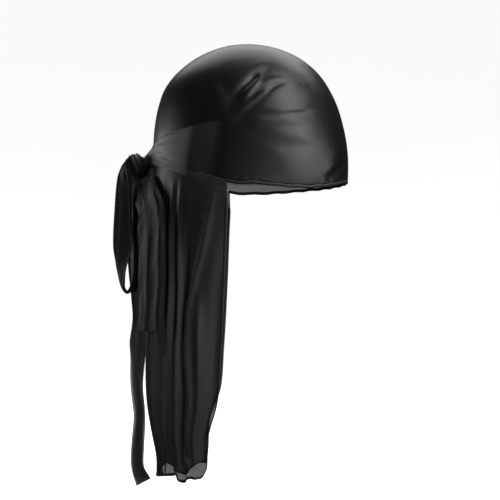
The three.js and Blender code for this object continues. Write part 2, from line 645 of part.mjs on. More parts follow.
const durag = new THREE.Group();
durag.name = "durag";
addPiece(durag, "crown_right_panel", crownPanel(-1), CROWN_LOOK);
addPiece(durag, "crown_left_panel", crownPanel(1), CROWN_LOOK);
addPiece(durag, "centre_seam", centreSeam(), HEM_LOOK);
addPiece(durag, "brow_hem", browHem(), HEM_LOOK);
addPiece(durag, "cape", cape(), CAPE_LOOK);
addPiece(durag, "cape_hem", capeHem(), HEM_LOOK);
addPiece(durag, "right_tie_band", tieBand(-1), TIE_LOOK);
addPiece(durag, "left_tie_band", tieBand(1), TIE_LOOK);
addPiece(durag, "tie_knot", tieKnot(), TIE_LOOK);
addPiece(durag, "tie_loop", tieLoop, TIE_LOOK);
addPiece(durag, "short_tail", shortTail, TIE_LOOK);
addPiece(durag, "long_tail", longTail, TIE_LOOK);

export default durag;
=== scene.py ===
"""The looks of a silky durag, worn and tied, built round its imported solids.

Lengths are worked out in millimetres in the part's own frame and put into Blender in metres:
+X is the wearer's front, +Y the wearer's left and +Z up, from the middle of the head opening.
"""

import math

import bpy
import numpy as np
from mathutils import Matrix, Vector


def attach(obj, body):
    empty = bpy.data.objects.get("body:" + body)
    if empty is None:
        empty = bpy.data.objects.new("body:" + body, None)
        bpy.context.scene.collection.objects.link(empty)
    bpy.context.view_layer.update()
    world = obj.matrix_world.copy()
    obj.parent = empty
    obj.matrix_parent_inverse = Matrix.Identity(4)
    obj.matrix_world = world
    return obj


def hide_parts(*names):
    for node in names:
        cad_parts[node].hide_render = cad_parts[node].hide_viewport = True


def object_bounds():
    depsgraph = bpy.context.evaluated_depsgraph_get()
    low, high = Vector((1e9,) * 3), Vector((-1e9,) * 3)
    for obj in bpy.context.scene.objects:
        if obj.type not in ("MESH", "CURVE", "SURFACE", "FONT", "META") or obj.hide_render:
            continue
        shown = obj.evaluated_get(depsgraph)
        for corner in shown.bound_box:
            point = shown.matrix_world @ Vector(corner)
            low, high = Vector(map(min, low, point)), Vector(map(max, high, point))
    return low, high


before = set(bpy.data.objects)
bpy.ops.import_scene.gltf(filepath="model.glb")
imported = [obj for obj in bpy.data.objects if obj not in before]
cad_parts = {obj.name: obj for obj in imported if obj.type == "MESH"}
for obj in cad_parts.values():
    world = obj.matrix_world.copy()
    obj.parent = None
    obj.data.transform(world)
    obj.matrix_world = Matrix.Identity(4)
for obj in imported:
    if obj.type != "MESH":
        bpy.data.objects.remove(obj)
LOW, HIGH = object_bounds()

MM = 0.001

# Driving sizes, in millimetres
CROWN_HEIGHT = 144.0
CROWN_FRONT = 99.5
CROWN_BACK = 98.5
CROWN_HALF_WIDTH = 78.5
WIDEST_AT = -9.0
SQUARENESS = 2.25
CAPE_LENGTH = 326.0
CLOTH = 0.5
STRAP_CLOTH = 0.4
HEM_HEIGHT = 4.0
SEAM_HALF_WIDTH = 3.4
FOLDS_FROM = 6.0  # from the middle seam, where the crown's creases start to grow
FOLDS_RISE = 26.0  # in which they grow
CAPE_RELEASE = 40.0  # under the crown's edge, in which the cape leaves the head's shape
CAPE_FOLDS_RISE = 24.0  # under the crown's edge, in which its folds grow
EDGE_GAP = 0.3  # of the cape's top under the crown's back edge
FLOOR_GAP = 22.0  # of the floor under the solids

# The camera in the photo's place, its height and the height that it looks at in millimetres
CAMERA_DISTANCE = 1100.0
CAMERA_HEIGHT = -82.4
CAMERA_AIM = -67.0
CAMERA_LENS = 76.9

# Shares of the cloth's cover taken away where the photo shows more light coming through
LEFT_EDGE_THIN = 0.17
CAPE_FRONT_THIN = 0.1
CAPE_FOOT_THIN = 0.11
CAPE_PATCH_THIN = 0.18

# Head sections from below the brow edge to the top, as shares of the driving sizes
CROWN_SECTIONS = [
    {"height": -0.09, "front": 0.985, "back": 0.972, "width": 0.925},
    {"height": 0.0, "front": 1.0, "back": 0.986, "width": 0.955},
    {"height": 0.11, "front": 1.006, "back": 0.996, "width": 0.98},
    {"height": 0.22, "front": 1.002, "back": 1.0, "width": 0.996},
    {"height": 0.33, "front": 0.982, "back": 0.997, "width": 1.0},
    {"height": 0.44, "front": 0.947, "back": 0.981, "width": 0.988},
    {"height": 0.55, "front": 0.9, "back": 0.95, "width": 0.957},
    {"height": 0.66, "front": 0.828, "back": 0.895, "width": 0.902},
    {"height": 0.76, "front": 0.735, "back": 0.795, "width": 0.82},
    {"height": 0.85, "front": 0.6, "back": 0.65, "width": 0.69},
    {"height": 0.925, "front": 0.43, "back": 0.47, "width": 0.51},
    {"height": 0.975, "front": 0.23, "back": 0.265, "width": 0.29},
    {"height": 1.0, "front": 0.0, "back": 0.02, "width": 0.0},
]

# Share of the half turn from the brow where the brow hem ends, beside the cape
BROW_HEM_END = 0.545

# Height in mm of the crown's lower edge on either side, by the share of the half turn from the brow
CROWN_EDGE = [
    {"turn": 0.0, "right": 3.4, "left": 3.4},
    {"turn": 0.12, "right": 1.6, "left": 2.4},
    {"turn": 0.2, "right": -1.6, "left": 1.2},
    {"turn": 0.3, "right": -4.5, "left": 0.0},
    {"turn": 0.4, "right": -3.8, "left": -1.8},
    {"turn": 0.46, "right": -1.8, "left": -2.6},
    {"turn": 0.53, "right": -0.6, "left": -1.6},
    {"turn": 0.6, "right": 4.9, "left": 4.9},
    {"turn": 0.75, "right": 12.2, "left": 12.2},
    {"turn": 0.9, "right": 23.0, "left": 23.0},
    {"turn": 1.0, "right": 25.9, "left": 25.9},
]

# Creases of the crown in the side view, in mm: start, bend and end of the line, half width, height,
# and how much of a valley lies along the ridge's lower side
RIGHT_FOLDS = [
    {"x1": 11, "z1": 104, "x2": 0, "z2": 92, "x3": -14, "z3": 74, "wide": 3.2, "tall": -2.0, "valley": 0.8},
    {"x1": 39, "z1": 98, "x2": 15, "z2": 94, "x3": -15, "z3": 74, "wide": 3.2, "tall": 1.25, "valley": 1.2},
    {"x1": 24, "z1": 91, "x2": 12, "z2": 83, "x3": -15, "z3": 57, "wide": 2.7, "tall": 1.15, "valley": 0.5},
    {"x1": 66, "z1": 72, "x2": 45, "z2": 64, "x3": 6, "z3": 63, "wide": 3.0, "tall": 1.2, "valley": 0.8},
    {"x1": 60, "z1": 54, "x2": 22, "z2": 56, "x3": -6, "z3": 49, "wide": 5.5, "tall": 1.0, "valley": 0.5},
    {"x1": 74, "z1": 34, "x2": 30, "z2": 42, "x3": -8, "z3": 40, "wide": 7.0, "tall": 0.7, "valley": 0.5},
    {"x1": 22, "z1": 118, "x2": 4, "z2": 104, "x3": -14, "z3": 86, "wide": 6.0, "tall": 0.6, "valley": 0.7},
    {"x1": 62, "z1": 96, "x2": 32, "z2": 84, "x3": -2, "z3": 68, "wide": 6.0, "tall": 0.6, "valley": 0.6},
    {"x1": 94, "z1": 24, "x2": 86, "z2": 13, "x3": 70, "z3": 2, "wide": 3.4, "tall": 0.8, "valley": 0.8},
    {"x1": 96, "z1": 44, "x2": 89, "z2": 26, "x3": 78, "z3": 8, "wide": 4.4, "tall": 0.6, "valley": 0.8},
    {"x1": -32, "z1": 98, "x2": -27, "z2": 82, "x3": -21, "z3": 68, "wide": 6.0, "tall": 0.7, "valley": 0.8},
    {"x1": 40, "z1": 16, "x2": 10, "z2": 24, "x3": -20, "z3": 30, "wide": 8.0, "tall": 0.5, "valley": 0.5},
]
LEFT_FOLDS = [
    {"x1": 12, "z1": 106, "x2": -2, "z2": 94, "x3": -18, "z3": 75, "wide": 2.8, "tall": 1.8, "valley": 1.0},
    {"x1": 48, "z1": 96, "x2": 20, "z2": 88, "x3": -12, "z3": 70, "wide": 2.6, "tall": 1.6, "valley": 1.0},
    {"x1": 64, "z1": 76, "x2": 36, "z2": 70, "x3": 0, "z3": 64, "wide": 3.0, "tall": 1.4, "valley": 0.9},
    {"x1": 58, "z1": 52, "x2": 26, "z2": 54, "x3": -8, "z3": 50, "wide": 4.0, "tall": 1.1, "valley": 0.6},
    {"x1": 70, "z1": 34, "x2": 30, "z2": 40, "x3": -8, "z3": 38, "wide": 6.0, "tall": 0.7, "valley": 0.6},
    {"x1": 97, "z1": 24, "x2": 86, "z2": 15, "x3": 68, "z3": 5, "wide": 3.4, "tall": 0.8, "valley": 0.8},
    {"x1": 42, "z1": 6, "x2": 24, "z2": 4, "x3": 2, "z3": -2, "wide": 1.1, "tall": 1.1, "valley": 1.0},
    {"x1": 4, "z1": 10, "x2": -8, "z2": 6, "x3": -24, "z3": 3, "wide": 1.1, "tall": 1.0, "valley": 1.0},
]

# The cape going down: depth as a share of its length, where its front edge and back lie along X in mm,
# its half width as a share of the crown's, and how far its folds have opened
CAPE_DEPTHS = [
    {"depth": 0.0, "front": -22, "back": -98.5, "width": 1.0, "open": 0},
    {"depth": 0.08, "front": -21, "back": -99.5, "width": 0.985, "open": 0.4},
    {"depth": 0.2, "front": -22.5, "back": -102, "width": 0.94, "open": 0.55},
    {"depth": 0.4, "front": -25, "back": -105, "width": 0.87, "open": 0.85},
    {"depth": 0.6, "front": -28.5, "back": -107, "width": 0.82, "open": 1},
    {"depth": 0.75, "front": -32.5, "back": -105.2, "width": 0.78, "open": 1},
    {"depth": 0.85, "front": -41, "back": -99.8, "width": 0.75, "open": 0.95},
    {"depth": 0.93, "front": -42, "back": -94.8, "width": 0.72, "open": 0.9},
    {"depth": 1.0, "front": -44, "back": -94.2, "width": 0.7, "open": 0.85},
]

# How much further back the left front edge swings at the foot than the right one, in mm
FAR_EDGE_SHIFT = 3.0

# The cape's lower edge across, from the wearer's right front corner to the left one
CAPE_HEM = [
    {"across": 0, "depth": 0.944},
    {"across": 0.02, "depth": 0.968},
    {"across": 0.05, "depth": 0.974},
    {"across": 0.09, "depth": 0.973},
    {"across": 0.105, "depth": 0.976},
    {"across": 0.12, "depth": 0.985},
    {"across": 0.15, "depth": 0.986},
    {"across": 0.17, "depth": 0.976},
    {"across": 0.185, "depth": 0.968},
    {"across": 0.22, "depth": 0.97},
    {"across": 0.26, "depth": 0.972},
    {"across": 0.32, "depth": 0.978},
    {"across": 0.42, "depth": 0.984},
    {"across": 0.5, "depth": 0.992},
    {"across": 0.55, "depth": 0.992},
    {"across": 0.6, "depth": 0.97},
    {"across": 0.67, "depth": 0.968},
    {"across": 0.74, "depth": 0.995},
    {"across": 0.8, "depth": 1.01},
    {"across": 0.88, "depth": 1.013},
    {"across": 0.92, "depth": 0.995},
    {"across": 0.955, "depth": 0.984},
    {"across": 1.0, "depth": 0.985},
]

# The cape's folds: their place across at each of the depths, half width as a share of the cape's,
# height in mm, below zero for a valley, and the depth where they start
CAPE_FOLD_DEPTHS = (0.0, 0.25, 0.5, 0.75, 1.0)
CAPE_FOLDS = [
    {"across": (0.03, 0.075, 0.135, 0.11, 0.1), "wide": 0.017, "tall": 3.6, "from": 0.0},
    {"across": (0.1, 0.1, 0.085, 0.07, 0.06), "wide": 0.014, "tall": 3.0, "from": 0.35},
    {"across": (0.0, 0.0, 0.02, 0.02, 0.02), "wide": 0.03, "tall": -3.0, "from": 0.1},
    {"across": (0.188, 0.189, 0.172, 0.17, 0.16), "wide": 0.012, "tall": 3.4, "from": 0.0},
    {"across": (0.208, 0.211, 0.197, 0.2, 0.21), "wide": 0.01, "tall": -2.2, "from": 0.0},
    {"across": (0.232, 0.234, 0.222, 0.25, 0.27), "wide": 0.015, "tall": 3.4, "from": 0.0},
    {"across": (0.155, 0.15, 0.155, 0.14, 0.13), "wide": 0.02, "tall": -2.6, "from": 0.05},
    {"across": (0.266, 0.27, 0.266, 0.3, 0.33), "wide": 0.02, "tall": -4.6, "from": 0.03},
    {"across": (0.3, 0.3, 0.305, 0.34, 0.36), "wide": 0.018, "tall": 4.6, "from": 0.02},
    {"across": (0.35, 0.352, 0.36, 0.385, 0.4), "wide": 0.018, "tall": -4.0, "from": 0.03},
    {"across": (0.4, 0.402, 0.41, 0.42, 0.43), "wide": 0.017, "tall": 2.6, "from": 0.02},
    {"across": (0.45, 0.45, 0.452, 0.46, 0.47), "wide": 0.02, "tall": -3.6, "from": 0.03},
    {"across": (0.5, 0.5, 0.5, 0.5, 0.5), "wide": 0.016, "tall": 1.4, "from": 0.02},
    {"across": (0.55, 0.55, 0.548, 0.54, 0.53), "wide": 0.02, "tall": -3.8, "from": 0.03},
    {"across": (0.6, 0.598, 0.592, 0.585, 0.58), "wide": 0.017, "tall": 2.8, "from": 0.02},
    {"across": (0.65, 0.648, 0.64, 0.625, 0.61), "wide": 0.019, "tall": -4.2, "from": 0.02},
    {"across": (0.7, 0.7, 0.69, 0.67, 0.66), "wide": 0.018, "tall": 4.4, "from": 0.02},
    {"across": (0.76, 0.755, 0.745, 0.73, 0.72), "wide": 0.02, "tall": -4.4, "from": 0.04},
    {"across": (0.82, 0.81, 0.8, 0.79, 0.78), "wide": 0.018, "tall": 4.2, "from": 0.0},
    {"across": (0.88, 0.87, 0.86, 0.85, 0.84), "wide": 0.02, "tall": -3.8, "from": 0.05},
    {"across": (0.95, 0.93, 0.905, 0.9, 0.9), "wide": 0.016, "tall": 3.2, "from": 0.05},
]

# Where light shows through the cape: triangles in the side view, in mm
CAPE_PATCHES = [
    {"x1": -68.8, "z1": -267, "x2": -62.0, "z2": -286, "x3": -66.4, "z3": -289},
]

# Each side tie, from where it leaves the crown to the knot: share of the half turn round the head and
# height in mm of its lower and upper edges, how far it has left the head, and its lift off the crown
TIE_BAND = [
    {"along": 0.0, "low_turn": 0.56, "high_turn": 0.5, "low": -1.0, "high": 56, "leave": 0, "lift": -1.0},
    {"along": 0.2, "low_turn": 0.63, "high_turn": 0.585, "low": 1.5, "high": 55, "leave": 0, "lift": 1.0},
    {"along": 0.4, "low_turn": 0.7, "high_turn": 0.67, "low": 6, "high": 51, "leave": 0, "lift": 1.9},
    {"along": 0.6, "low_turn": 0.79, "high_turn": 0.76, "low": 12, "high": 46.5, "leave": 0, "lift": 2.0},
    {"along": 0.8, "low_turn": 0.88, "high_turn": 0.86, "low": 17.5, "high": 42, "leave": 0, "lift": 2.2},
    {"along": 0.9, "low_turn": 0.94, "high_turn": 0.93, "low": 19.5, "high": 36, "leave": 0.02, "lift": 2.2},
    {"along": 1.0, "low_turn": 0.985, "high_turn": 0.98, "low": 16, "high": 28, "leave": 1, "lift": 2.2},
]

# Where each side's tie ends at the knot, along X and Y in mm
TIE_ENDS = {-1: (-107.0, -8.5), 1: (-108.0, 6.5)}

# The ties' pleats: place across the tie at the crown and at the knot, half width across it, height in mm
TIE_PLEATS = [
    {"crown": 0.9, "knot": 0.94, "wide": 0.06, "tall": 0.3},
    {"crown": 0.66, "knot": 0.7, "wide": 0.08, "tall": 0.4},
    {"crown": 0.45, "knot": 0.42, "wide": 0.06, "tall": 0.35},
    {"crown": 0.2, "knot": 0.24, "wide": 0.05, "tall": 0.8},
    {"crown": 0.08, "knot": 0.06, "wide": 0.035, "tall": 0.9},
]

# The knot's middle and half sizes, and the sizes that the tables of the straps take shares of
KNOT = {"x": -117.0, "y": -2.0, "z": 18.5, "half_x": 13.5, "half_y": 14.0, "half_z": 12.0}
SWING = 20.0
LOOP_LENGTH = 130.0
SHORT_TAIL_LENGTH = 180.0
LONG_TAIL_LENGTH = 327.0
LOOP_WIDTH = 20.0
SHORT_TAIL_WIDTH = 41.0
LONG_TAIL_WIDTH = 20.0
PLEAT_HEIGHT = 2.8

# The loop and the tails, from the knot's middle: middle line along X and Y as shares of SWING and down
# as a share of the strap's length, width as a share of the strap's, turn of the width about the line
# in degrees, and pleat height as a share of the named one
LOOP = [
    {"x": -0.3, "y": -0.2, "down": -0.07, "width": 0.65, "turn": 0, "pleat": 0.2},
    {"x": -0.6, "y": -0.44, "down": 0.0, "width": 0.85, "turn": -25, "pleat": 0.3},
    {"x": -0.6, "y": -0.66, "down": 0.12, "width": 1.0, "turn": -55, "pleat": 0.4},
    {"x": -0.6, "y": -0.78, "down": 0.42, "width": 1.12, "turn": -66, "pleat": 0.45},
    {"x": -0.59, "y": -0.78, "down": 0.64, "width": 1.12, "turn": -66, "pleat": 0.45},
    {"x": -0.66, "y": -0.75, "down": 0.8, "width": 0.78, "turn": -52, "pleat": 0.4},
    {"x": -0.6, "y": -0.7, "down": 0.945, "width": 0.62, "turn": -24, "pleat": 0.3},
    {"x": -0.35, "y": -0.67, "down": 0.99, "width": 0.62, "turn": -10, "pleat": 0.3},
    {"x": -0.13, "y": -0.63, "down": 0.93, "width": 0.62, "turn": 0, "pleat": 0.3},
    {"x": -0.08, "y": -0.58, "down": 0.8, "width": 0.65, "turn": 20, "pleat": 0.3},
    {"x": -0.18, "y": -0.5, "down": 0.5, "width": 0.65, "turn": 30, "pleat": 0.3},
    {"x": -0.3, "y": -0.4, "down": 0.23, "width": 0.85, "turn": 48, "pleat": 0.3},
    {"x": -0.3, "y": -0.3, "down": 0.04, "width": 0.8, "turn": 46, "pleat": 0.2},
]
SHORT_TAIL = [
    {"x": 0.38, "y": -0.15, "down": -0.01, "width": 0.7, "turn": -50, "pleat": 0.4},
    {"x": 0.45, "y": -0.75, "down": 0.1, "width": 0.84, "turn": -50, "pleat": 0.6},
    {"x": 0.6, "y": -1.4, "down": 0.165, "width": 0.93, "turn": -49, "pleat": 0.7},
    {"x": 0.88, "y": -1.9, "down": 0.25, "width": 0.97, "turn": -48, "pleat": 0.75},
    {"x": 0.95, "y": -2.15, "down": 0.36, "width": 1.0, "turn": -47, "pleat": 0.8},
    {"x": 0.97, "y": -2.2, "down": 0.54, "width": 1.0, "turn": -46, "pleat": 0.9},
    {"x": 0.95, "y": -2.18, "down": 0.74, "width": 1.0, "turn": -45, "pleat": 1.0},
    {"x": 0.95, "y": -2.18, "down": 0.93, "width": 1.0, "turn": -45, "pleat": 0.9},
]
LONG_TAIL = [
    {"x": 0.0, "y": 0.15, "down": 0.02, "width": 0.6, "turn": 30, "pleat": 0.3},
    {"x": -0.05, "y": 0.33, "down": 0.12, "width": 0.9, "turn": 40, "pleat": 0.55},
    {"x": -0.1, "y": 0.33, "down": 0.27, "width": 1.0, "turn": 48, "pleat": 0.7},
    {"x": 0.02, "y": 0.25, "down": 0.4, "width": 0.95, "turn": 50, "pleat": 0.7},
    {"x": 0.13, "y": 0.2, "down": 0.48, "width": 0.95, "turn": 50, "pleat": 0.7},
    {"x": 0.08, "y": 0.1, "down": 0.55, "width": 1.04, "turn": 50, "pleat": 0.8},
    {"x": 0.1, "y": 0.0, "down": 0.61, "width": 0.86, "turn": 48, "pleat": 0.65},
    {"x": 0.08, "y": 0.0, "down": 0.69, "width": 0.74, "turn": 48, "pleat": 0.65},
    {"x": 0.2, "y": -0.05, "down": 0.78, "width": 0.74, "turn": 42, "pleat": 0.65},
    {"x": 0.1, "y": -0.05, "down": 0.87, "width": 0.82, "turn": 44, "pleat": 0.55},
    {"x": 0.1, "y": -0.05, "down": 0.94, "width": 0.78, "turn": 46, "pleat": 0.5},
    {"x": 0.42, "y": -0.05, "down": 0.988, "width": 1.0, "turn": 55, "pleat": 0.4},
]


# Interpolation


def smooth(keys, values, at):
    """Values at the places at, on a smooth curve through (keys, values): a cubic between neighbours."""
    keys = np.asarray(keys, float)
    values = np.asarray(values, float)
    slopes = np.gradient(values, keys)
    at = np.clip(at, keys[0], keys[-1])
    i = np.clip(np.searchsorted(keys, at, side="right") - 1, 0, len(keys) - 2)
    step = keys[i + 1] - keys[i]
    t = (at - keys[i]) / step
    bend = (1 + 2 * t) * (1 - t) ** 2 * values[i] + t**2 * (3 - 2 * t) * values[i + 1]
    return bend + step * (t * (1 - t) ** 2 * slopes[i] - t**2 * (1 - t) * slopes[i + 1])


def column(rows, name):
    """One column of a table as an array."""
    return np.array([row[name] for row in rows], float)


def looked_up(rows, key, at, *names):
    """The named columns of a table, smoothly interpolated where its key column has the values at."""
    keys = column(rows, key)
    found = [smooth(keys, column(rows, name), at) for name in names]
    return found[0] if len(found) == 1 else found


def ease(t):
    """From 0 to 1 as t goes from 0 to 1, level at both ends: 3 t squared less 2 t cubed."""
    t = np.clip(t, 0.0, 1.0)
    return t * t * (3 - 2 * t)


def ripple(u, v, seed, waves=5, low=1.0, high=6.0):
    """Soft irregular waves over a grid, from -1 to 1: a sum of sines with seeded directions and phases."""
    rng = np.random.default_rng(seed)
    total = np.zeros(np.broadcast(u, v).shape)
    for _ in range(waves):
        fu, fv = rng.uniform(low, high, 2)
        total = total + np.sin(2 * math.pi * (fu * u * rng.choice([-1, 1]) + fv * v) + rng.uniform(0, 6.3))
    return total / waves


# Head shape


def section(place, name):
    """A size of the head's section in mm. The rows pass through nothing at the top, mirrored, so that the
    dome closes smoothly."""
    values = column(CROWN_SECTIONS, name)
    turned = values[-2] if name == "height" else -values[-2]
    keys = np.arange(len(values) + 1)
    return smooth(keys, np.append(values, turned), place)


TOP = len(CROWN_SECTIONS) - 1
PLACES = np.linspace(0, TOP, 1200)
HEIGHTS = section(PLACES, "height") * CROWN_HEIGHT


def place_at(height):
    """The row, with its fraction, of the table of head sections that lies at a height in mm."""
    return np.interp(height, HEIGHTS, PLACES)


def crown_edge(turn, side):
    """Height in mm of the crown's lower edge at a share of the half turn from the brow."""
    right, left = looked_up(CROWN_EDGE, "turn", turn, "right", "left")
    return np.where(np.asarray(side) < 0, right, left)


def head_point(place, turn, side):
    """Points on the head: rounded squares of |x|^p + |y|^p = 1, wider at the back, stacked up to the top.
    turn is the share of the half turn from the brow, and side is -1 on the wearer's right."""
    angle = turn * math.pi
    power = 2 / SQUARENESS
    half = section(place, "width") * CROWN_HALF_WIDTH
    front = section(place, "front") * CROWN_FRONT
    back = -section(place, "back") * CROWN_BACK
    middle = WIDEST_AT * np.minimum(1.0, half / (CROWN_HALF_WIDTH * 0.5))
    cosine = np.cos(angle)
    reach = np.abs(cosine) ** power
    x = np.where(cosine >= 0, middle + reach * (front - middle), middle - reach * (middle - back))
    y = side * half * np.abs(np.sin(angle)) ** power
    z = section(place, "height") * CROWN_HEIGHT
    return np.stack(np.broadcast_arrays(x, y, z), axis=-1)


def normals_of(points):
    """Unit normals of a grid of points, from the differences along its two directions."""
    across = np.cross(np.gradient(points, axis=0), np.gradient(points, axis=1))
    length = np.linalg.norm(across, axis=-1, keepdims=True)
    return across / np.maximum(length, 1e-9)


def crease_field(folds, x, z):
    """Height of a set of creases at places in the side view. Each is a bent line; its section is a soft
    ridge with a valley beside it, and it fades at both ends."""
    total = np.zeros(np.shape(x))
    t = np.linspace(0, 1, 120)
    for fold in folds:
        line_x = (1 - t) ** 2 * fold["x1"] + 2 * t * (1 - t) * fold["x2"] + t**2 * fold["x3"]
        line_z = (1 - t) ** 2 * fold["z1"] + 2 * t * (1 - t) * fold["z2"] + t**2 * fold["z3"]
        gap = (x[..., None] - line_x) ** 2 + (z[..., None] - line_z) ** 2
        nearest = np.argmin(gap, axis=-1)
        along = t[nearest]
        dx, dz = np.gradient(line_x)[nearest], np.gradient(line_z)[nearest]
        side = np.sign((x - line_x[nearest]) * dz - (z - line_z[nearest]) * dx)
        off = side * np.sqrt(np.min(gap, axis=-1)) / (fold["wide"] * (0.7 + 0.9 * along))
        shape = np.exp(-((off - 0.7) ** 2)) - fold["valley"] * np.exp(-((off + 0.8) ** 2))
        total += fold["tall"] * shape * ease(along * 3.2) * ease((1 - along) * 2.4 + 0.25)
    return total


def patch_field(patches, points):
    """1 inside the triangles of a table, as they are seen from the side at the camera's distance, and 0
    outside and along the middle of the back: from the least distance to the three edges."""
    seen = CAMERA_DISTANCE / (CAMERA_DISTANCE + points[..., 1])
    x = points[..., 0] * seen
    z = CAMERA_HEIGHT + (points[..., 2] - CAMERA_HEIGHT) * seen
    total = np.zeros(x.shape)
    for row in patches:
        corners = [(row["x1"], row["z1"]), (row["x2"], row["z2"]), (row["x3"], row["z3"])]
        least = np.full(x.shape, np.inf)
        for (ax, az), (bx, bz) in zip(corners, corners[1:] + corners[:1]):
            away = ((x - ax) * (az - bz) + (z - az) * (bx - ax)) / math.hypot(bx - ax, bz - az)
            least = np.minimum(least, -away)
        total = np.maximum(total, ease(least / 1.2 + 0.5))
    return total * ease((np.abs(points[..., 1]) - 10) / 8)


# Meshes


def grid_mesh(name, points, uv, wrap=False, part_rows=0):
    """An object whose mesh is a grid of points in mm; wrap joins the last column to the first, and with
    part_rows the rows fall into separate parts of so many each."""
    rows, cols = points.shape[:2]
    steps = cols if wrap else cols - 1
    starts = np.arange(rows - 1)
    if part_rows:
        starts = starts[(starts + 1) % part_rows != 0]
    i, j = np.meshgrid(starts, np.arange(steps), indexing="ij")
    after = (j + 1) % cols
    quads = np.stack([i * cols + j, (i + 1) * cols + j, (i + 1) * cols + after, i * cols + after], axis=-1)
    quads = quads.reshape(-1, 4)
    mesh = bpy.data.meshes.new(name)
    mesh.vertices.add(rows * cols)
    mesh.vertices.foreach_set("co", (points * MM).astype(np.float32).ravel())
    mesh.loops.add(quads.size)
    mesh.loops.foreach_set("vertex_index", quads.astype(np.int32).ravel())
    mesh.polygons.add(len(quads))
    mesh.polygons.foreach_set("loop_start", np.arange(0, quads.size, 4, dtype=np.int32))
    layer = mesh.uv_layers.new(name="UVMap")
    layer.data.foreach_set("uv", uv.reshape(-1, 2)[quads.ravel()].astype(np.float32).ravel())
    mesh.update(calc_edges=True)
    mesh.validate()
    mesh.polygons.foreach_set("use_smooth", np.ones(len(mesh.polygons), dtype=bool))
    made = bpy.data.objects.new(name, mesh)
    bpy.context.scene.collection.objects.link(made)
    return made


def thicken(piece, wall=CLOTH):
    """Gives a sheet its wall, half of it on either side."""
    solid = piece.modifiers.new("wall", "SOLIDIFY")
    solid.thickness = wall * MM
    solid.offset = 0
    return piece


def let_through(piece, share):
    """Stores, at each vertex, the share of the cloth's cover that is left there."""
    stored = piece.data.attributes.new("cover", "FLOAT", "POINT")
    stored.data.foreach_set("value", share.astype(np.float32).ravel())


def finish_piece(piece, material, slot_name, *nodes):
    """Gives a piece its material and its body, and hides the solids that it stands for; its slot_name is not
    used.
    """
    piece.data.materials.append(material)
    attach(piece, "root")
    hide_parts(*nodes)
    return piece


def lengths_uv(points):
    """Cloth coordinates in centimetres: the mean length run along each direction of a grid."""
    along = np.linalg.norm(np.diff(points, axis=0), axis=-1).mean(axis=1)
    across = np.linalg.norm(np.diff(points, axis=1), axis=-1).mean(axis=0)
    u = np.concatenate([[0], np.cumsum(along)]) / 10
    v = np.concatenate([[0], np.cumsum(across)]) / 10
    return np.stack(np.meshgrid(u, v, indexing="ij"), axis=-1)


def tube_along(name, path, normal, inward, half_wide, half_thick, sides=10):
    """A soft roll along a path: an ellipse at each point, wide along inward and thick along normal,
    drawn in to nothing at both ends."""
    count = len(path)
    turn = np.linspace(0, 2 * math.pi, sides, endpoint=False)
    ends = np.minimum(np.arange(count), np.arange(count)[::-1])
    taper = np.sqrt(np.clip((ends + 0.02) / 3.0, 0.0, 1.0))[:, None, None]
    ring = half_wide * np.cos(turn)[None, :, None] * inward[:, None, :]
    ring = ring + half_thick * np.sin(turn)[None, :, None] * normal[:, None, :]
    points = path[:, None, :] + taper * ring
    return grid_mesh(name, points, lengths_uv(points), wrap=True)


def stitches(name, path, normal, node, pitch=2.6, length=1.75, half_wide=0.24):
    """A row of sewn stitches along a path: short threads, rounded across and drawn down at both ends."""
    run = np.concatenate([[0], np.cumsum(np.linalg.norm(np.diff(path, axis=0), axis=1))])
    t = np.linspace(-1, 1, 6)
    at = np.arange(pitch, run[-1] - pitch, pitch)[:, None] + t * length / 2
    middle, up = (
        np.stack([np.interp(at, run, values[:, k]) for k in range(3)], axis=-1) for values in (path, normal)
    )
    along = np.gradient(middle, axis=1)
    side = np.cross(along, up)
    side /= np.linalg.norm(side, axis=-1, keepdims=True)
    middle = middle - up * (0.3 * t**4)[:, None]
    turn = np.linspace(0, 2 * math.pi, 6, endpoint=False)[:, None]
    half = (half_wide * np.sqrt(1.05 - t**2))[:, None, None]
    points = middle[:, :, None] + half * (np.cos(turn) * side[:, :, None] + np.sin(turn) * up[:, :, None])
    points = points.reshape(-1, len(turn), 3)
    piece = grid_mesh(name, points, lengths_uv(points), wrap=True, part_rows=len(t))
    return finish_piece(piece, THREAD, "hem_satin", node)


# Materials


def node_group(name, outputs, inputs=()):
    """An empty shader node group with its sockets, and its two end nodes."""
    group = bpy.data.node_groups.new(name, "ShaderNodeTree")
    for label, kind, default in inputs:
        socket = group.interface.new_socket(label, in_out="INPUT", socket_type=kind)
        socket.default_value = default
    for label, kind in outputs:
        group.interface.new_socket(label, in_out="OUTPUT", socket_type=kind)
    start = group.nodes.new("NodeGroupInput")
    end = group.nodes.new("NodeGroupOutput")
    return group, start, end


def add_node(nodes, kind, **values):
    """A new node, with constant values for the named inputs; an underscore stands for a space."""
    made = nodes.new("ShaderNode" + kind)
    for label, value in values.items():
        made.inputs[label.replace("_", " ")].default_value = value
    return made


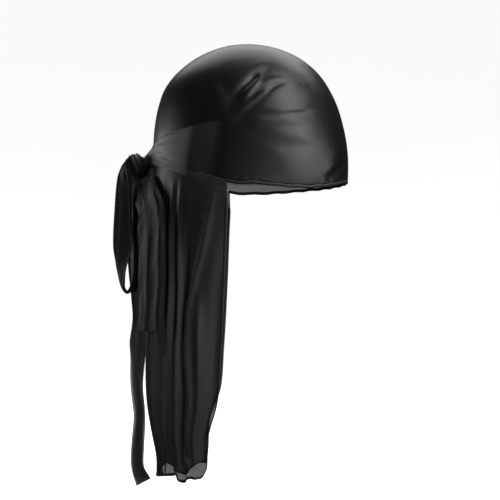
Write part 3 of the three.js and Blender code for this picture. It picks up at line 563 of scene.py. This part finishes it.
def satin_weave_group():
    """Fine slanting threads and the long soft slubs of a silky satin, from the cloth's own coordinates in
    centimetres. Height goes to the bump and Sheen, from 0 to 1, to the roughness."""
    group, start, end = node_group(
        "Satin weave",
        (("Height", "NodeSocketFloat"), ("Sheen", "NodeSocketFloat")),
        (("Threads", "NodeSocketFloat", 22.0),),
    )
    nodes, links = group.nodes, group.links
    uv = nodes.new("ShaderNodeUVMap")
    uv.uv_map = "UVMap"
    turned = add_node(nodes, "Mapping", Rotation=(0, 0, math.radians(28)))
    threads = add_node(nodes, "TexWave", Distortion=1.2, Detail=2, Detail_Scale=1.5)
    stretched = add_node(nodes, "Mapping", Scale=(0.7, 9.0, 1))
    slubs = add_node(nodes, "TexNoise", Scale=1.6, Detail=5, Roughness=0.62)
    both = nodes.new("ShaderNodeMath")
    both.operation = "MULTIPLY_ADD"
    both.inputs[1].default_value = 0.35
    links.new(uv.outputs["UV"], turned.inputs["Vector"])
    links.new(turned.outputs["Vector"], threads.inputs["Vector"])
    links.new(start.outputs["Threads"], threads.inputs["Scale"])
    links.new(uv.outputs["UV"], stretched.inputs["Vector"])
    links.new(stretched.outputs["Vector"], slubs.inputs["Vector"])
    links.new(threads.outputs["Fac"], both.inputs[0])
    links.new(slubs.outputs["Fac"], both.inputs[2])
    links.new(both.outputs["Value"], end.inputs["Height"])
    links.new(slubs.outputs["Fac"], end.inputs["Sheen"])
    return group


WEAVE = satin_weave_group()


def satin_tone(nodes, links, colour):
    """The satin's colour in soft blotches, from about a third darker to a third lighter."""
    place = nodes.new("ShaderNodeTexCoord")
    blotch = add_node(nodes, "TexNoise", Scale=26, Detail=3)
    tone = nodes.new("ShaderNodeMix")
    tone.data_type = "RGBA"
    tone.inputs["A"].default_value = (*[c * 0.7 for c in colour], 1)
    tone.inputs["B"].default_value = (*[c * 1.35 for c in colour], 1)
    links.new(place.outputs["Object"], blotch.inputs["Vector"])
    links.new(blotch.outputs["Fac"], tone.inputs["Factor"])
    return tone.outputs["Result"]


def satin_cover(nodes, links, opaque, grazing_opaque, fades):
    """How much the cloth covers: from opaque, looked at squarely, to grazing_opaque, looked at along the
    surface, and where it fades, times the share stored at each vertex."""
    facing = add_node(nodes, "LayerWeight", Blend=0.35)
    closed = add_node(nodes, "MapRange", To_Min=opaque, To_Max=grazing_opaque)
    links.new(facing.outputs["Facing"], closed.inputs["Value"])
    if not fades:
        return closed.outputs["Result"]
    stored = nodes.new("ShaderNodeAttribute")
    stored.attribute_name = "cover"
    faded = nodes.new("ShaderNodeMath")
    faded.operation = "MULTIPLY"
    links.new(closed.outputs["Result"], faded.inputs[0])
    links.new(stored.outputs["Fac"], faded.inputs[1])
    return faded.outputs["Value"]


def satin(name, colour, rough, opaque, grazing_opaque, bump=0.05, fades=False, gloss=0.5):
    """Black polyester satin: a dark, softly glossy cloth, a little see-through where it is looked at
    squarely and closed where it is looked at along the surface."""
    made = bpy.data.materials.new(name)
    made.use_nodes = True
    nodes, links = made.node_tree.nodes, made.node_tree.links
    nodes.clear()
    out = nodes.new("ShaderNodeOutputMaterial")
    shader = add_node(nodes, "BsdfPrincipled", Specular_IOR_Level=gloss, Sheen_Weight=0.02)
    shader.inputs["Sheen Roughness"].default_value = 0.35
    shader.inputs["Sheen Tint"].default_value = (0.8, 0.82, 0.86, 1)
    weave = nodes.new("ShaderNodeGroup")
    weave.node_tree = WEAVE
    relief = add_node(nodes, "Bump", Strength=bump, Distance=0.0006)
    sheen = add_node(nodes, "MapRange", To_Min=rough - 0.07, To_Max=rough + 0.09)
    links.new(weave.outputs["Height"], relief.inputs["Height"])
    links.new(relief.outputs["Normal"], shader.inputs["Normal"])
    links.new(weave.outputs["Sheen"], sheen.inputs["Value"])
    links.new(sheen.outputs["Result"], shader.inputs["Roughness"])
    links.new(satin_tone(nodes, links, colour), shader.inputs["Base Color"])
    links.new(satin_cover(nodes, links, opaque, grazing_opaque, fades), shader.inputs["Alpha"])
    links.new(shader.outputs["BSDF"], out.inputs["Surface"])
    return made


def plain(name, colour, rough):
    """A material of one colour and roughness."""
    made = bpy.data.materials.new(name)
    made.use_nodes = True
    shader = made.node_tree.nodes["Principled BSDF"]
    shader.inputs["Base Color"].default_value = (*colour, 1)
    shader.inputs["Roughness"].default_value = rough
    return made


CROWN_SATIN = satin("crown satin", (0.0045, 0.0045, 0.005), 0.365, 0.81, 0.96, fades=True)
# The cape's colour is lighter than the crown's though it is the same black satin: painted fill light,
# standing in for light that the lamps don't bring to it.
CAPE_SATIN_PAINTED_LIGHT = satin("cape satin painted light", (0.016, 0.016, 0.017), 0.46, 0.82, 0.96, fades=True, gloss=0.25)
TIE_SATIN = satin("tie satin", (0.012, 0.012, 0.013), 0.52, 0.86, 0.98, gloss=0.09)
# The long tail's colour is five times the other ties': painted light, for the shadow that the cape casts on
# it from the key lamp.
LONG_SATIN_PAINTED_LIGHT = satin("long tail satin painted light", (0.06, 0.06, 0.063), 0.52, 0.72, 0.96, gloss=0.2)
# The band's grey colour is painted sheen: the same black satin, made lighter where its pleats catch light
# from the left.
BAND_SATIN_PAINTED_SHEEN = satin("band satin painted sheen", (0.15, 0.15, 0.153), 0.5, 0.735, 0.95, fades=True, gloss=0.4)
# The knot's colour is lighter than the ties': painted light, for the shade that the knot sits in.
KNOT_SATIN_PAINTED_LIGHT = satin("knot satin painted light", (0.035, 0.035, 0.037), 0.5, 1.0, 1.0, gloss=0.2)
HEM_SATIN = satin("hem satin", (0.008, 0.008, 0.009), 0.52, 1.0, 1.0, bump=0.12)
THREAD = plain("black thread", (0.02, 0.02, 0.022), 0.45)


# The crown


def crown_grid(side, around=200, up=110):
    """One half of the crown: round the half turn and from its lower edge up to the top, with the creases
    drawn towards the tie and a soft unevenness all over."""
    turn = np.linspace(0, 1, around)[:, None]
    rise = np.linspace(0, 1, up)[None, :]
    bottom = place_at(crown_edge(turn, side))
    points = head_point(bottom + (TOP - bottom) * rise, turn, side)
    outward = normals_of(points) * side
    x, y, z = points[..., 0], points[..., 1], points[..., 2]
    creases = crease_field(RIGHT_FOLDS if side < 0 else LEFT_FOLDS, x, z)
    on_side = ease((np.abs(y) - FOLDS_FROM) / FOLDS_RISE)
    under_top = ease((TOP - bottom) * (1 - rise) / 3)
    uneven = 0.55 * ripple(x / 190, z / 160, 4 + side, 6, 0.6, 3.0) * under_top
    seam_pull = -0.5 * np.exp(-((np.abs(y) / 3.0) ** 2))
    puckers = 0.14 * np.sin(turn * 190 + 3 * np.sin(turn * 40)) * (x > -24)
    brow_pull = puckers * np.exp(-((rise * 190 / 7) ** 2))
    return points + outward * (creases * on_side + uneven + seam_pull + brow_pull)[..., None]


def crown_panel(side, name, node):
    """A half of the crown; the left one is thinner along its lower edge, where it is seen past the right."""
    points = crown_grid(side)
    piece = grid_mesh(name, points, side_uv(points, side))
    low_strip = 1 - ease((points[..., 2] - points[:, :1, 2] - 7) / 3)
    let_through(piece, 1 - LEFT_EDGE_THIN * low_strip * (side > 0))
    finish_piece(thicken(piece), CROWN_SATIN, "crown_satin", node)


def side_uv(points, side):
    """Cloth coordinates in centimetres of a crown half: laid flat outwards from the middle of the side."""
    middle = np.array([WIDEST_AT, side * CROWN_HALF_WIDTH, 40.0])
    away = points - middle
    flat = np.hypot(away[..., 0], away[..., 2])
    full = np.hypot(flat, away[..., 1])
    scale = full / np.maximum(flat, 1e-6) / 10
    return np.stack([away[..., 0] * scale, away[..., 2] * scale], axis=-1)


def seam_line(count=260):
    """The middle line of the crown from the brow over the top to the back, with its outward normal."""
    gone = np.linspace(0, 1, count)
    front, back = place_at(crown_edge(0.0, 1)), place_at(crown_edge(1.0, 1))
    run = (TOP - front) + (TOP - back)
    climbing = gone * run <= TOP - front
    place = np.where(climbing, front + gone * run, TOP - (gone * run - (TOP - front)))
    path = head_point(place, np.where(climbing, 0.0, 1.0), 1)
    path[:, 1] = 0
    along = np.gradient(path, axis=0)
    along /= np.linalg.norm(along, axis=1, keepdims=True)
    return path, np.stack([along[:, 2], np.zeros(count), -along[:, 0]], axis=1)


def centre_seam():
    """The seam: a flat double ridge, hollowed a little along the middle, where the two halves are sewn."""
    path, normal = seam_line()
    across = np.linspace(-1, 1, 25)
    profile = 1.25 * np.sqrt(np.clip(1 - across**2, 0, 1)) - 0.55 * np.exp(-((across / 0.16) ** 2)) - 0.35
    points = path[:, None, :] + normal[:, None, :] * profile[None, :, None]
    points = points + np.stack([0 * across, across * SEAM_HALF_WIDTH, 0 * across], axis=1)[None]
    piece = grid_mesh("centre_seam_visual", points, lengths_uv(points))
    finish_piece(thicken(piece), HEM_SATIN, "hem_satin", "centre_seam")
    for side, name in ((-1, "right_seam_stitches"), (1, "left_seam_stitches")):
        stitches(name, path + normal * 1.0 + np.array([0, side * 1.8, 0]), normal, "centre_seam")


def brow_hem():
    """The rolled brow hem, along the crown's lower edge from one cape edge round the front to the other."""
    signed = np.linspace(1, -1, 420) * BROW_HEM_END
    side = np.where(signed < 0, -1, 1)
    turn = np.abs(signed)
    height = crown_edge(turn, side) - HEM_HEIGHT * 0.32
    path = head_point(place_at(height), turn, side)
    above = head_point(place_at(height + 1), turn, side) - path
    above /= np.linalg.norm(above, axis=1, keepdims=True)
    along = np.gradient(path, axis=0)
    along /= np.linalg.norm(along, axis=1, keepdims=True)
    normal = np.cross(above, along)
    wobble = np.stack([0.3 * np.sin(turn * 150), 0 * turn, 0.35 * np.sin(turn * 95 + 1)], axis=1)
    piece = tube_along("brow_hem_visual", path + wobble, normal, above, HEM_HEIGHT * 0.42, 1.0)
    finish_piece(piece, HEM_SATIN, "hem_satin", "brow_hem")
    stitches("brow_hem_stitches", path + wobble + above * 0.9 - normal * 0.9, -normal, "brow_hem")


# The cape


def cape_turn():
    """The share of the half turn from the brow where the cape's front edge leaves the crown."""
    turns = np.linspace(0.4, 0.8, 400)
    along = head_point(place_at(crown_edge(turns, 1)), turns, 1)[:, 0]
    return np.interp(-CAPE_DEPTHS[0]["front"], -along, turns)


CAPE_TURN = cape_turn()


def cape_points(across, down):
    """The cape: the crown's back edge, dropped straight down and drawn in, with each fold a ridge or a
    valley whose place across drifts on the way down."""
    signed = 2 * across - 1
    side = np.where(signed < 0, -1, 1)
    turn = 1 - np.abs(signed) * (1 - CAPE_TURN)
    top_height = crown_edge(turn, side) - EDGE_GAP
    top = head_point(place_at(top_height), turn, side)
    back_top = crown_edge(1.0, 1) - EDGE_GAP
    hem = looked_up(CAPE_HEM, "across", across, "depth")
    height = top_height + (back_top - CAPE_LENGTH * hem - top_height) * down
    depth = (back_top - height) / CAPE_LENGTH
    front, back, width, opened = looked_up(CAPE_DEPTHS, "depth", depth, "front", "back", "width", "open")
    first = CAPE_DEPTHS[0]
    front = front - FAR_EDGE_SHIFT * ease((across - 0.5) / 0.4) * ease((depth - 0.72) / 0.12)
    share = (top[..., 0] - first["front"]) / (first["back"] - first["front"])
    plan = np.stack([front + share * (back - front), top[..., 1] * width, height], axis=-1)
    released = ease((top_height - height) / CAPE_RELEASE)[..., None]
    points = top + (plan - top) * released
    points[..., 2] = height
    outward = np.stack([np.cos(turn * math.pi), side * np.sin(turn * math.pi), 0 * turn], axis=-1)
    outward = np.broadcast_to(outward, points.shape)
    lift = np.zeros(np.shape(depth))
    for fold in CAPE_FOLDS:
        middle = smooth(CAPE_FOLD_DEPTHS, fold["across"], depth)
        off = np.abs(across - middle) / (fold["wide"] * (0.8 + 0.5 * depth))
        lift = lift + fold["tall"] * np.exp(-(off**1.7)) * ease((depth - fold["from"]) / 0.22)
    wave = 1.6 * ripple(across * 1.2, depth, 12, 6, 0.8, 2.6)
    wave = wave + 0.5 * ripple(across * 3, depth, 5, 6, 1.5, 5.0)
    sway = lift * np.maximum(opened, 0) + wave * ease(depth * 3)
    return points + outward * (sway * ease((top_height - height) / CAPE_FOLDS_RISE))[..., None]


def cape():
    """The cape, a little thinner along its front edges and its foot."""
    across = np.linspace(0.0, 1.0, 380)[:, None]
    down = np.linspace(0.0, 1.0, 125)[None, :]
    points = cape_points(*np.broadcast_arrays(across, down))
    piece = grid_mesh("cape_visual", points, lengths_uv(points))
    front = ease((0.15 - np.minimum(across, 1 - across)) / 0.12)
    foot = ease((down - 0.93) / 0.05)
    thin = np.maximum(CAPE_FRONT_THIN * front, CAPE_FOOT_THIN * foot)
    let_through(piece, 1 - thin - CAPE_PATCH_THIN * patch_field(CAPE_PATCHES, points))
    finish_piece(thicken(piece), CAPE_SATIN_PAINTED_LIGHT, "cape_satin", "cape")
    return points


def cape_hem(points):
    """The cape's narrow hem: down one front edge, along the bottom and up the other."""
    normal = normals_of(points)
    edge = np.concatenate([points[0, 6:], points[1:, -1], points[-1, -2:5:-1]])
    inner = np.concatenate([points[4, 6:], points[1:, -5], points[-5, -2:5:-1]])
    faces = np.concatenate([normal[0, 6:], normal[1:, -1], normal[-1, -2:5:-1]])
    inward = inner - edge
    inward -= faces * np.sum(inward * faces, axis=1, keepdims=True)
    inward /= np.linalg.norm(inward, axis=1, keepdims=True)
    piece = tube_along("cape_hem_visual", edge + inward * 0.9, faces, inward, 1.5, 0.75)
    finish_piece(piece, HEM_SATIN, "hem_satin", "cape_hem")
    stitches("cape_hem_stitches", edge + inward * 1.3 + faces * 0.75, faces, "cape_hem")


# The ties


def tie_band(side, name, node):
    """A tie's wide end: over the crown, tucked into it at the front, gathered towards the knot in pleats
    that run along it and draw together."""
    u = np.linspace(0, 1, 150)[:, None]
    v = np.linspace(0, 1, 70)[None, :]
    names = ("low_turn", "high_turn", "low", "high", "leave", "lift")
    low_turn, high_turn, low, high, leave, lift = looked_up(TIE_BAND, "along", u, *names)
    turn = low_turn + (high_turn - low_turn) * v
    height = low + (high - low) * v
    points = head_point(place_at(height), turn, side)
    outward = normals_of(points) * side
    gather = ease(u * 1.3 - 0.15)
    pleats = np.zeros(np.broadcast(u, v).shape)
    for k, pleat in enumerate(TIE_PLEATS):
        middle = pleat["crown"] + (pleat["knot"] - pleat["crown"]) * u + 0.03 * np.sin(5 * u + k)
        pleats = pleats + pleat["tall"] * np.exp(-np.abs((v - middle) / pleat["wide"]) ** 1.6)
    rolled = 0.9 * np.exp(-(((1 - v) / 0.03) ** 2)) + 0.8 * np.exp(-((v / 0.03) ** 2))
    rise = lift + (pleats - 0.6 + rolled) * gather + 0.25 * ripple(u * 2, v * 2, 30 + side, 5, 1, 4) * gather
    points = points + outward * rise[..., None]
    end_x, end_y = TIE_ENDS[side]
    end = np.stack(np.broadcast_arrays(end_x + 2 * (pleats - 0.8), end_y, height), axis=-1)
    points = points + (end - points) * np.maximum(leave, 0)[..., None]
    piece = grid_mesh(name, points, lengths_uv(points))
    # The cover is nearly nothing over the first third of the band and full from a little under halfway on,
    # so the band's painted sheen shows only towards the knot.
    cover = 0.08 * ease(u / 0.2) + 0.92 * ease((u - 0.34) / 0.12)
    let_through(piece, np.broadcast_to(cover, points.shape[:2]))
    finish_piece(thicken(piece), BAND_SATIN_PAINTED_SHEEN, "tie_satin", node)


def strap_line(table, length, width, count):
    """A strap's middle line, and along it the directions of its length, width and face, its width and
    its pleat height."""
    at = np.linspace(0, len(table) - 1, count)
    keys = np.arange(len(table))
    across_x, across_y, down, wide, turn, pleat = (
        smooth(keys, column(table, name), at) for name in ("x", "y", "down", "width", "turn", "pleat")
    )
    place = [KNOT["x"] + across_x * SWING, KNOT["y"] + across_y * SWING, KNOT["z"] - down * length]
    path = np.stack(place, axis=1)
    along = np.gradient(path, axis=0)
    along /= np.linalg.norm(along, axis=1, keepdims=True)
    level = np.array([0.0, 1.0, 0.0]) - along * along[:, 1:2]
    level /= np.linalg.norm(level, axis=1, keepdims=True)
    angle = np.radians(turn)[:, None]
    across = level * np.cos(angle) + np.cross(along, level) * np.sin(angle)
    return path, along, across, np.cross(along, across), wide * width, pleat * PLEAT_HEIGHT


def folded_strap(name, node, table, length, width, material, seed, passes=3, thick=3.4, long=300, wide=100):
    """A strap folded up lengthwise: its section goes from side to side in so many passes, each a little
    in front of the last, and the folds' edges wander along it. A sine gives the side to side."""
    u = np.linspace(0, 1, long)[:, None]
    v = np.linspace(0, 1, wide)[None, :]
    path, along, across, normal, width, pleat = strap_line(table, length, width, long)
    swing = -np.cos(math.pi * passes * v)
    turns = 0.84 + 0.16 * np.sin(5.2 * u + 9 * v + seed) * np.sin(11 * u - 7 * v + 2.2 * seed)
    side = 0.5 * width[:, None] * swing * turns
    gathers = 0.5 * np.cos(2 * math.pi * passes * 1.5 * v + 2.5 * np.sin(4 * u + seed))
    rise = (v - 0.5) * thick * (0.7 + 0.3 * np.sin(8 * u + seed)) + gathers * pleat[:, None] * 0.7
    rise = rise + 0.35 * ripple(u * 4, v * 2, seed, 5, 1, 4)
    points = path[:, None, :] + across[:, None, :] * side[..., None] + normal[:, None, :] * rise[..., None]
    piece = grid_mesh(name, points, lengths_uv(points))
    finish_piece(thicken(piece, STRAP_CLOTH), material, "tie_satin", node)
    return piece


def pleated_strap(name, node, table, length, width, pleats, seed, foot, long=260, wide=150):
    """A strap in knife pleats: the pleats' lean, a sine added to the width, is large enough for each to
    lie a little over the next; foot lengthens it at the hem, in mm."""
    u = np.linspace(0, 1, long)[:, None]
    v = np.linspace(0, 1, wide)[None, :]
    path, along, across, normal, width, pleat = strap_line(table, length, width, long)
    drift = 0.09 * np.sin(3.1 * u + seed) + 0.04 * np.sin(7.3 * u + 2 * seed)
    phase = 2 * math.pi * pleats * (v + drift * v * (1 - v) * 4)
    lean = 0.95 * np.sin(phase + 0.6) / (2 * math.pi * pleats)
    side = (v - 0.5 + lean * np.sin(math.pi * v)) * width[:, None]
    folds = np.cos(phase) + 0.4 * np.cos(1.7 * phase + 1.2 + seed)
    rise = pleat[:, None] * folds * 0.32 + 0.6 * ripple(u * 2, v, seed, 5, 1, 4)
    points = path[:, None, :] + across[:, None, :] * side[..., None] + normal[:, None, :] * rise[..., None]
    points = points + along[:, None, :] * (foot(v) * ease((u - 0.6) / 0.4))[..., None]
    piece = grid_mesh(name, points, lengths_uv(points))
    finish_piece(thicken(piece, STRAP_CLOTH), TIE_SATIN, "tie_satin", node)
    return piece


def short_tail_foot(v):
    """How far in mm the short tail's hem drops, most at one side and nothing past a quarter across."""
    return 22 * ease((0.27 - v) / 0.25)


def tie_knot():
    """The knot's heart: a rounded lump whose surface is drawn into slanting pleats."""
    around = np.linspace(0, 2 * math.pi, 160, endpoint=False)[None, :]
    up = np.linspace(-math.pi / 2, math.pi / 2, 100)[:, None]
    twist = 8 * around + 4.5 * np.sin(up) + 0.8 * np.sin(2 * around)
    pleats = 0.55 * np.cos(twist) * np.cos(up) + 0.25 * np.cos(2 * twist + 1) * np.cos(up)
    grow = 0.97 + pleats / KNOT["half_x"]
    x = KNOT["x"] + KNOT["half_x"] * grow * np.cos(up) * np.cos(around)
    y = KNOT["y"] + KNOT["half_y"] * grow * np.cos(up) * np.sin(around)
    z = KNOT["z"] + KNOT["half_z"] * grow * np.sin(up)
    points = np.stack(np.broadcast_arrays(x, y, z), axis=-1)
    piece = grid_mesh("tie_knot_visual", points, lengths_uv(points), wrap=True)
    return finish_piece(piece, KNOT_SATIN_PAINTED_LIGHT, "tie_satin", "tie_knot")


def knot_wrap(name, tilt, yaw, grow, width, seed, shift):
    """A turn of cloth round the knot: a pleated band on an ellipse that leans by tilt and faces yaw."""
    around = np.linspace(0, 2 * math.pi, 200)[:, None]
    v = np.linspace(-1, 1, 40)[None, :]
    facing = np.array([math.cos(yaw) * math.cos(tilt), math.sin(yaw) * math.cos(tilt), math.sin(tilt)])
    level = np.cross([0.0, 0.0, 1.0], facing)
    level /= np.linalg.norm(level)
    rising = np.cross(facing, level)
    half = np.array([KNOT["half_x"], KNOT["half_y"], KNOT["half_z"]])
    middle = np.array([KNOT["x"], KNOT["y"], KNOT["z"]]) + facing * shift
    spoke = np.cos(around)[..., None] * level + np.sin(around)[..., None] * rising
    breadth = width * (0.5 + 0.08 * np.sin(2 * around + seed)) * v
    folds = 0.55 * np.cos(7.5 * v + 1.2 * np.sin(around + seed)) + 0.3 * np.cos(13 * v - around * 2)
    lift = grow + folds * 0.9 - 1.6 * v**4
    size = 1 / np.linalg.norm(spoke / half, axis=-1, keepdims=True)
    fall = np.sqrt(np.clip(1 - (breadth / 17.0) ** 2, 0.1, 1))[..., None]
    points = middle + spoke * (size * fall + lift[..., None]) + facing * breadth[..., None]
    piece = grid_mesh(name, points, lengths_uv(points))
    finish_piece(thicken(piece, STRAP_CLOTH), KNOT_SATIN_PAINTED_LIGHT, "tie_satin", "tie_knot")


crown_panel(-1, "crown_right_visual", "crown_right_panel")
crown_panel(1, "crown_left_visual", "crown_left_panel")
centre_seam()
brow_hem()
cape_hem(cape())
tie_band(-1, "right_tie_visual", "right_tie_band")
tie_band(1, "left_tie_visual", "left_tie_band")
tie_knot()
knot_wrap("knot_wrap_visual", tilt=0.35, yaw=0.25, grow=0.9, width=13.0, seed=1.0, shift=1.0)
loop = folded_strap("tie_loop_visual", "tie_loop", LOOP, LOOP_LENGTH, LOOP_WIDTH, TIE_SATIN, 3)
short = pleated_strap(
    "short_tail_visual", "short_tail", SHORT_TAIL, SHORT_TAIL_LENGTH, SHORT_TAIL_WIDTH, pleats=2.1, seed=1,
    foot=short_tail_foot,
)
long_end = folded_strap(
    "long_tail_visual", "long_tail", LONG_TAIL, LONG_TAIL_LENGTH, LONG_TAIL_WIDTH, LONG_SATIN_PAINTED_LIGHT, 2
)


# The studio


def backdrop():
    """A pale floor that curves up all round the object like a dish."""
    floor_z = LOW.z / MM - FLOOR_GAP
    turn = np.linspace(0, 2 * math.pi, 97)[None, :-1]
    run = np.linspace(0, 1, 50)[:, None]
    bend = 700.0
    curl = np.clip((run - 0.4) / 0.6, 0, 1) * math.pi / 2
    out = 1 + 1600 * np.minimum(run / 0.4, 1) + bend * np.sin(curl)
    rise = floor_z + bend * (1 - np.cos(curl)) + 1500 * np.clip((run - 0.98) / 0.02, 0, 1)
    points = np.stack(np.broadcast_arrays(out * np.cos(turn), out * np.sin(turn), rise), axis=-1)
    made = grid_mesh("backdrop", points, lengths_uv(points), wrap=True)
    pale = plain("pale floor", (0.86, 0.86, 0.86), 0.9)
    shader = pale.node_tree.nodes["Principled BSDF"]
    shader.inputs["Emission Color"].default_value = (1, 1, 1, 1)
    shader.inputs["Emission Strength"].default_value = 0.8
    made.data.materials.append(pale)
    made.visible_glossy = False
    made.visible_diffuse = False


def softbox(name, place, aim, size, power, spread=180.0):
    """A rectangular lamp at a place in metres, turned to its aim, with its power in watts."""
    light = bpy.data.lights.new(name, "AREA")
    light.shape = "RECTANGLE"
    light.size, light.size_y = size
    light.energy = power
    light.spread = math.radians(spread)
    made = bpy.data.objects.new(name, light)
    made.location = place
    made.rotation_mode = "QUATERNION"
    made.rotation_quaternion = (Vector(aim) - Vector(place)).to_track_quat("-Z", "Y")
    bpy.context.scene.collection.objects.link(made)


backdrop()
softbox("key strip", (0.84, -0.84, 0.6), (0.0, 0.0, 0.0), (0.6, 1.75), 20)
softbox("right box", (1.1, -0.4, 0.0), (0.0, 0.0, 0.0), (0.3, 0.5), 2)
softbox("top right box", (0.62, 0.22, 0.95), (0.0, 0.0, 0.06), (0.5, 0.5), 2.7)
softbox("top back box", (-0.08, 0.58, 1.15), (0.0, 0.0, 0.05), (1.4, 1.15), 12.5)
softbox("left low box", (-1.05, 0.28, 0.05), (-0.05, 0.0, 0.02), (0.95, 0.25), 5)
softbox("tail box", (-0.28, -0.8, -0.2), (-0.165, 0.0, -0.19), (0.06, 0.2), 0.05, 18.0)
softbox("cape box", (0.3, -0.9, -0.26), (-0.03, 0.0, -0.13), (0.2, 0.15), 0.04, 24.0)

# The world and the camera

world = bpy.data.worlds.new("studio")
world.use_nodes = True
sky = world.node_tree.nodes["Background"]
sky.inputs["Color"].default_value = (1, 1, 1, 1)
sky.inputs["Strength"].default_value = 0.01
bpy.context.scene.world = world
bpy.context.scene.view_settings.view_transform = "Standard"

camera = bpy.data.cameras.new("camera")
camera.lens = CAMERA_LENS
camera.sensor_width = 36
eye = bpy.data.objects.new("camera", camera)
eye.location = (0.0, -CAMERA_DISTANCE * MM, CAMERA_HEIGHT * MM)
eye.rotation_mode = "QUATERNION"
eye.rotation_quaternion = (Vector((0, 0, CAMERA_AIM * MM)) - eye.location).to_track_quat("-Z", "Y")
bpy.context.scene.collection.objects.link(eye)
bpy.context.scene.camera = eye
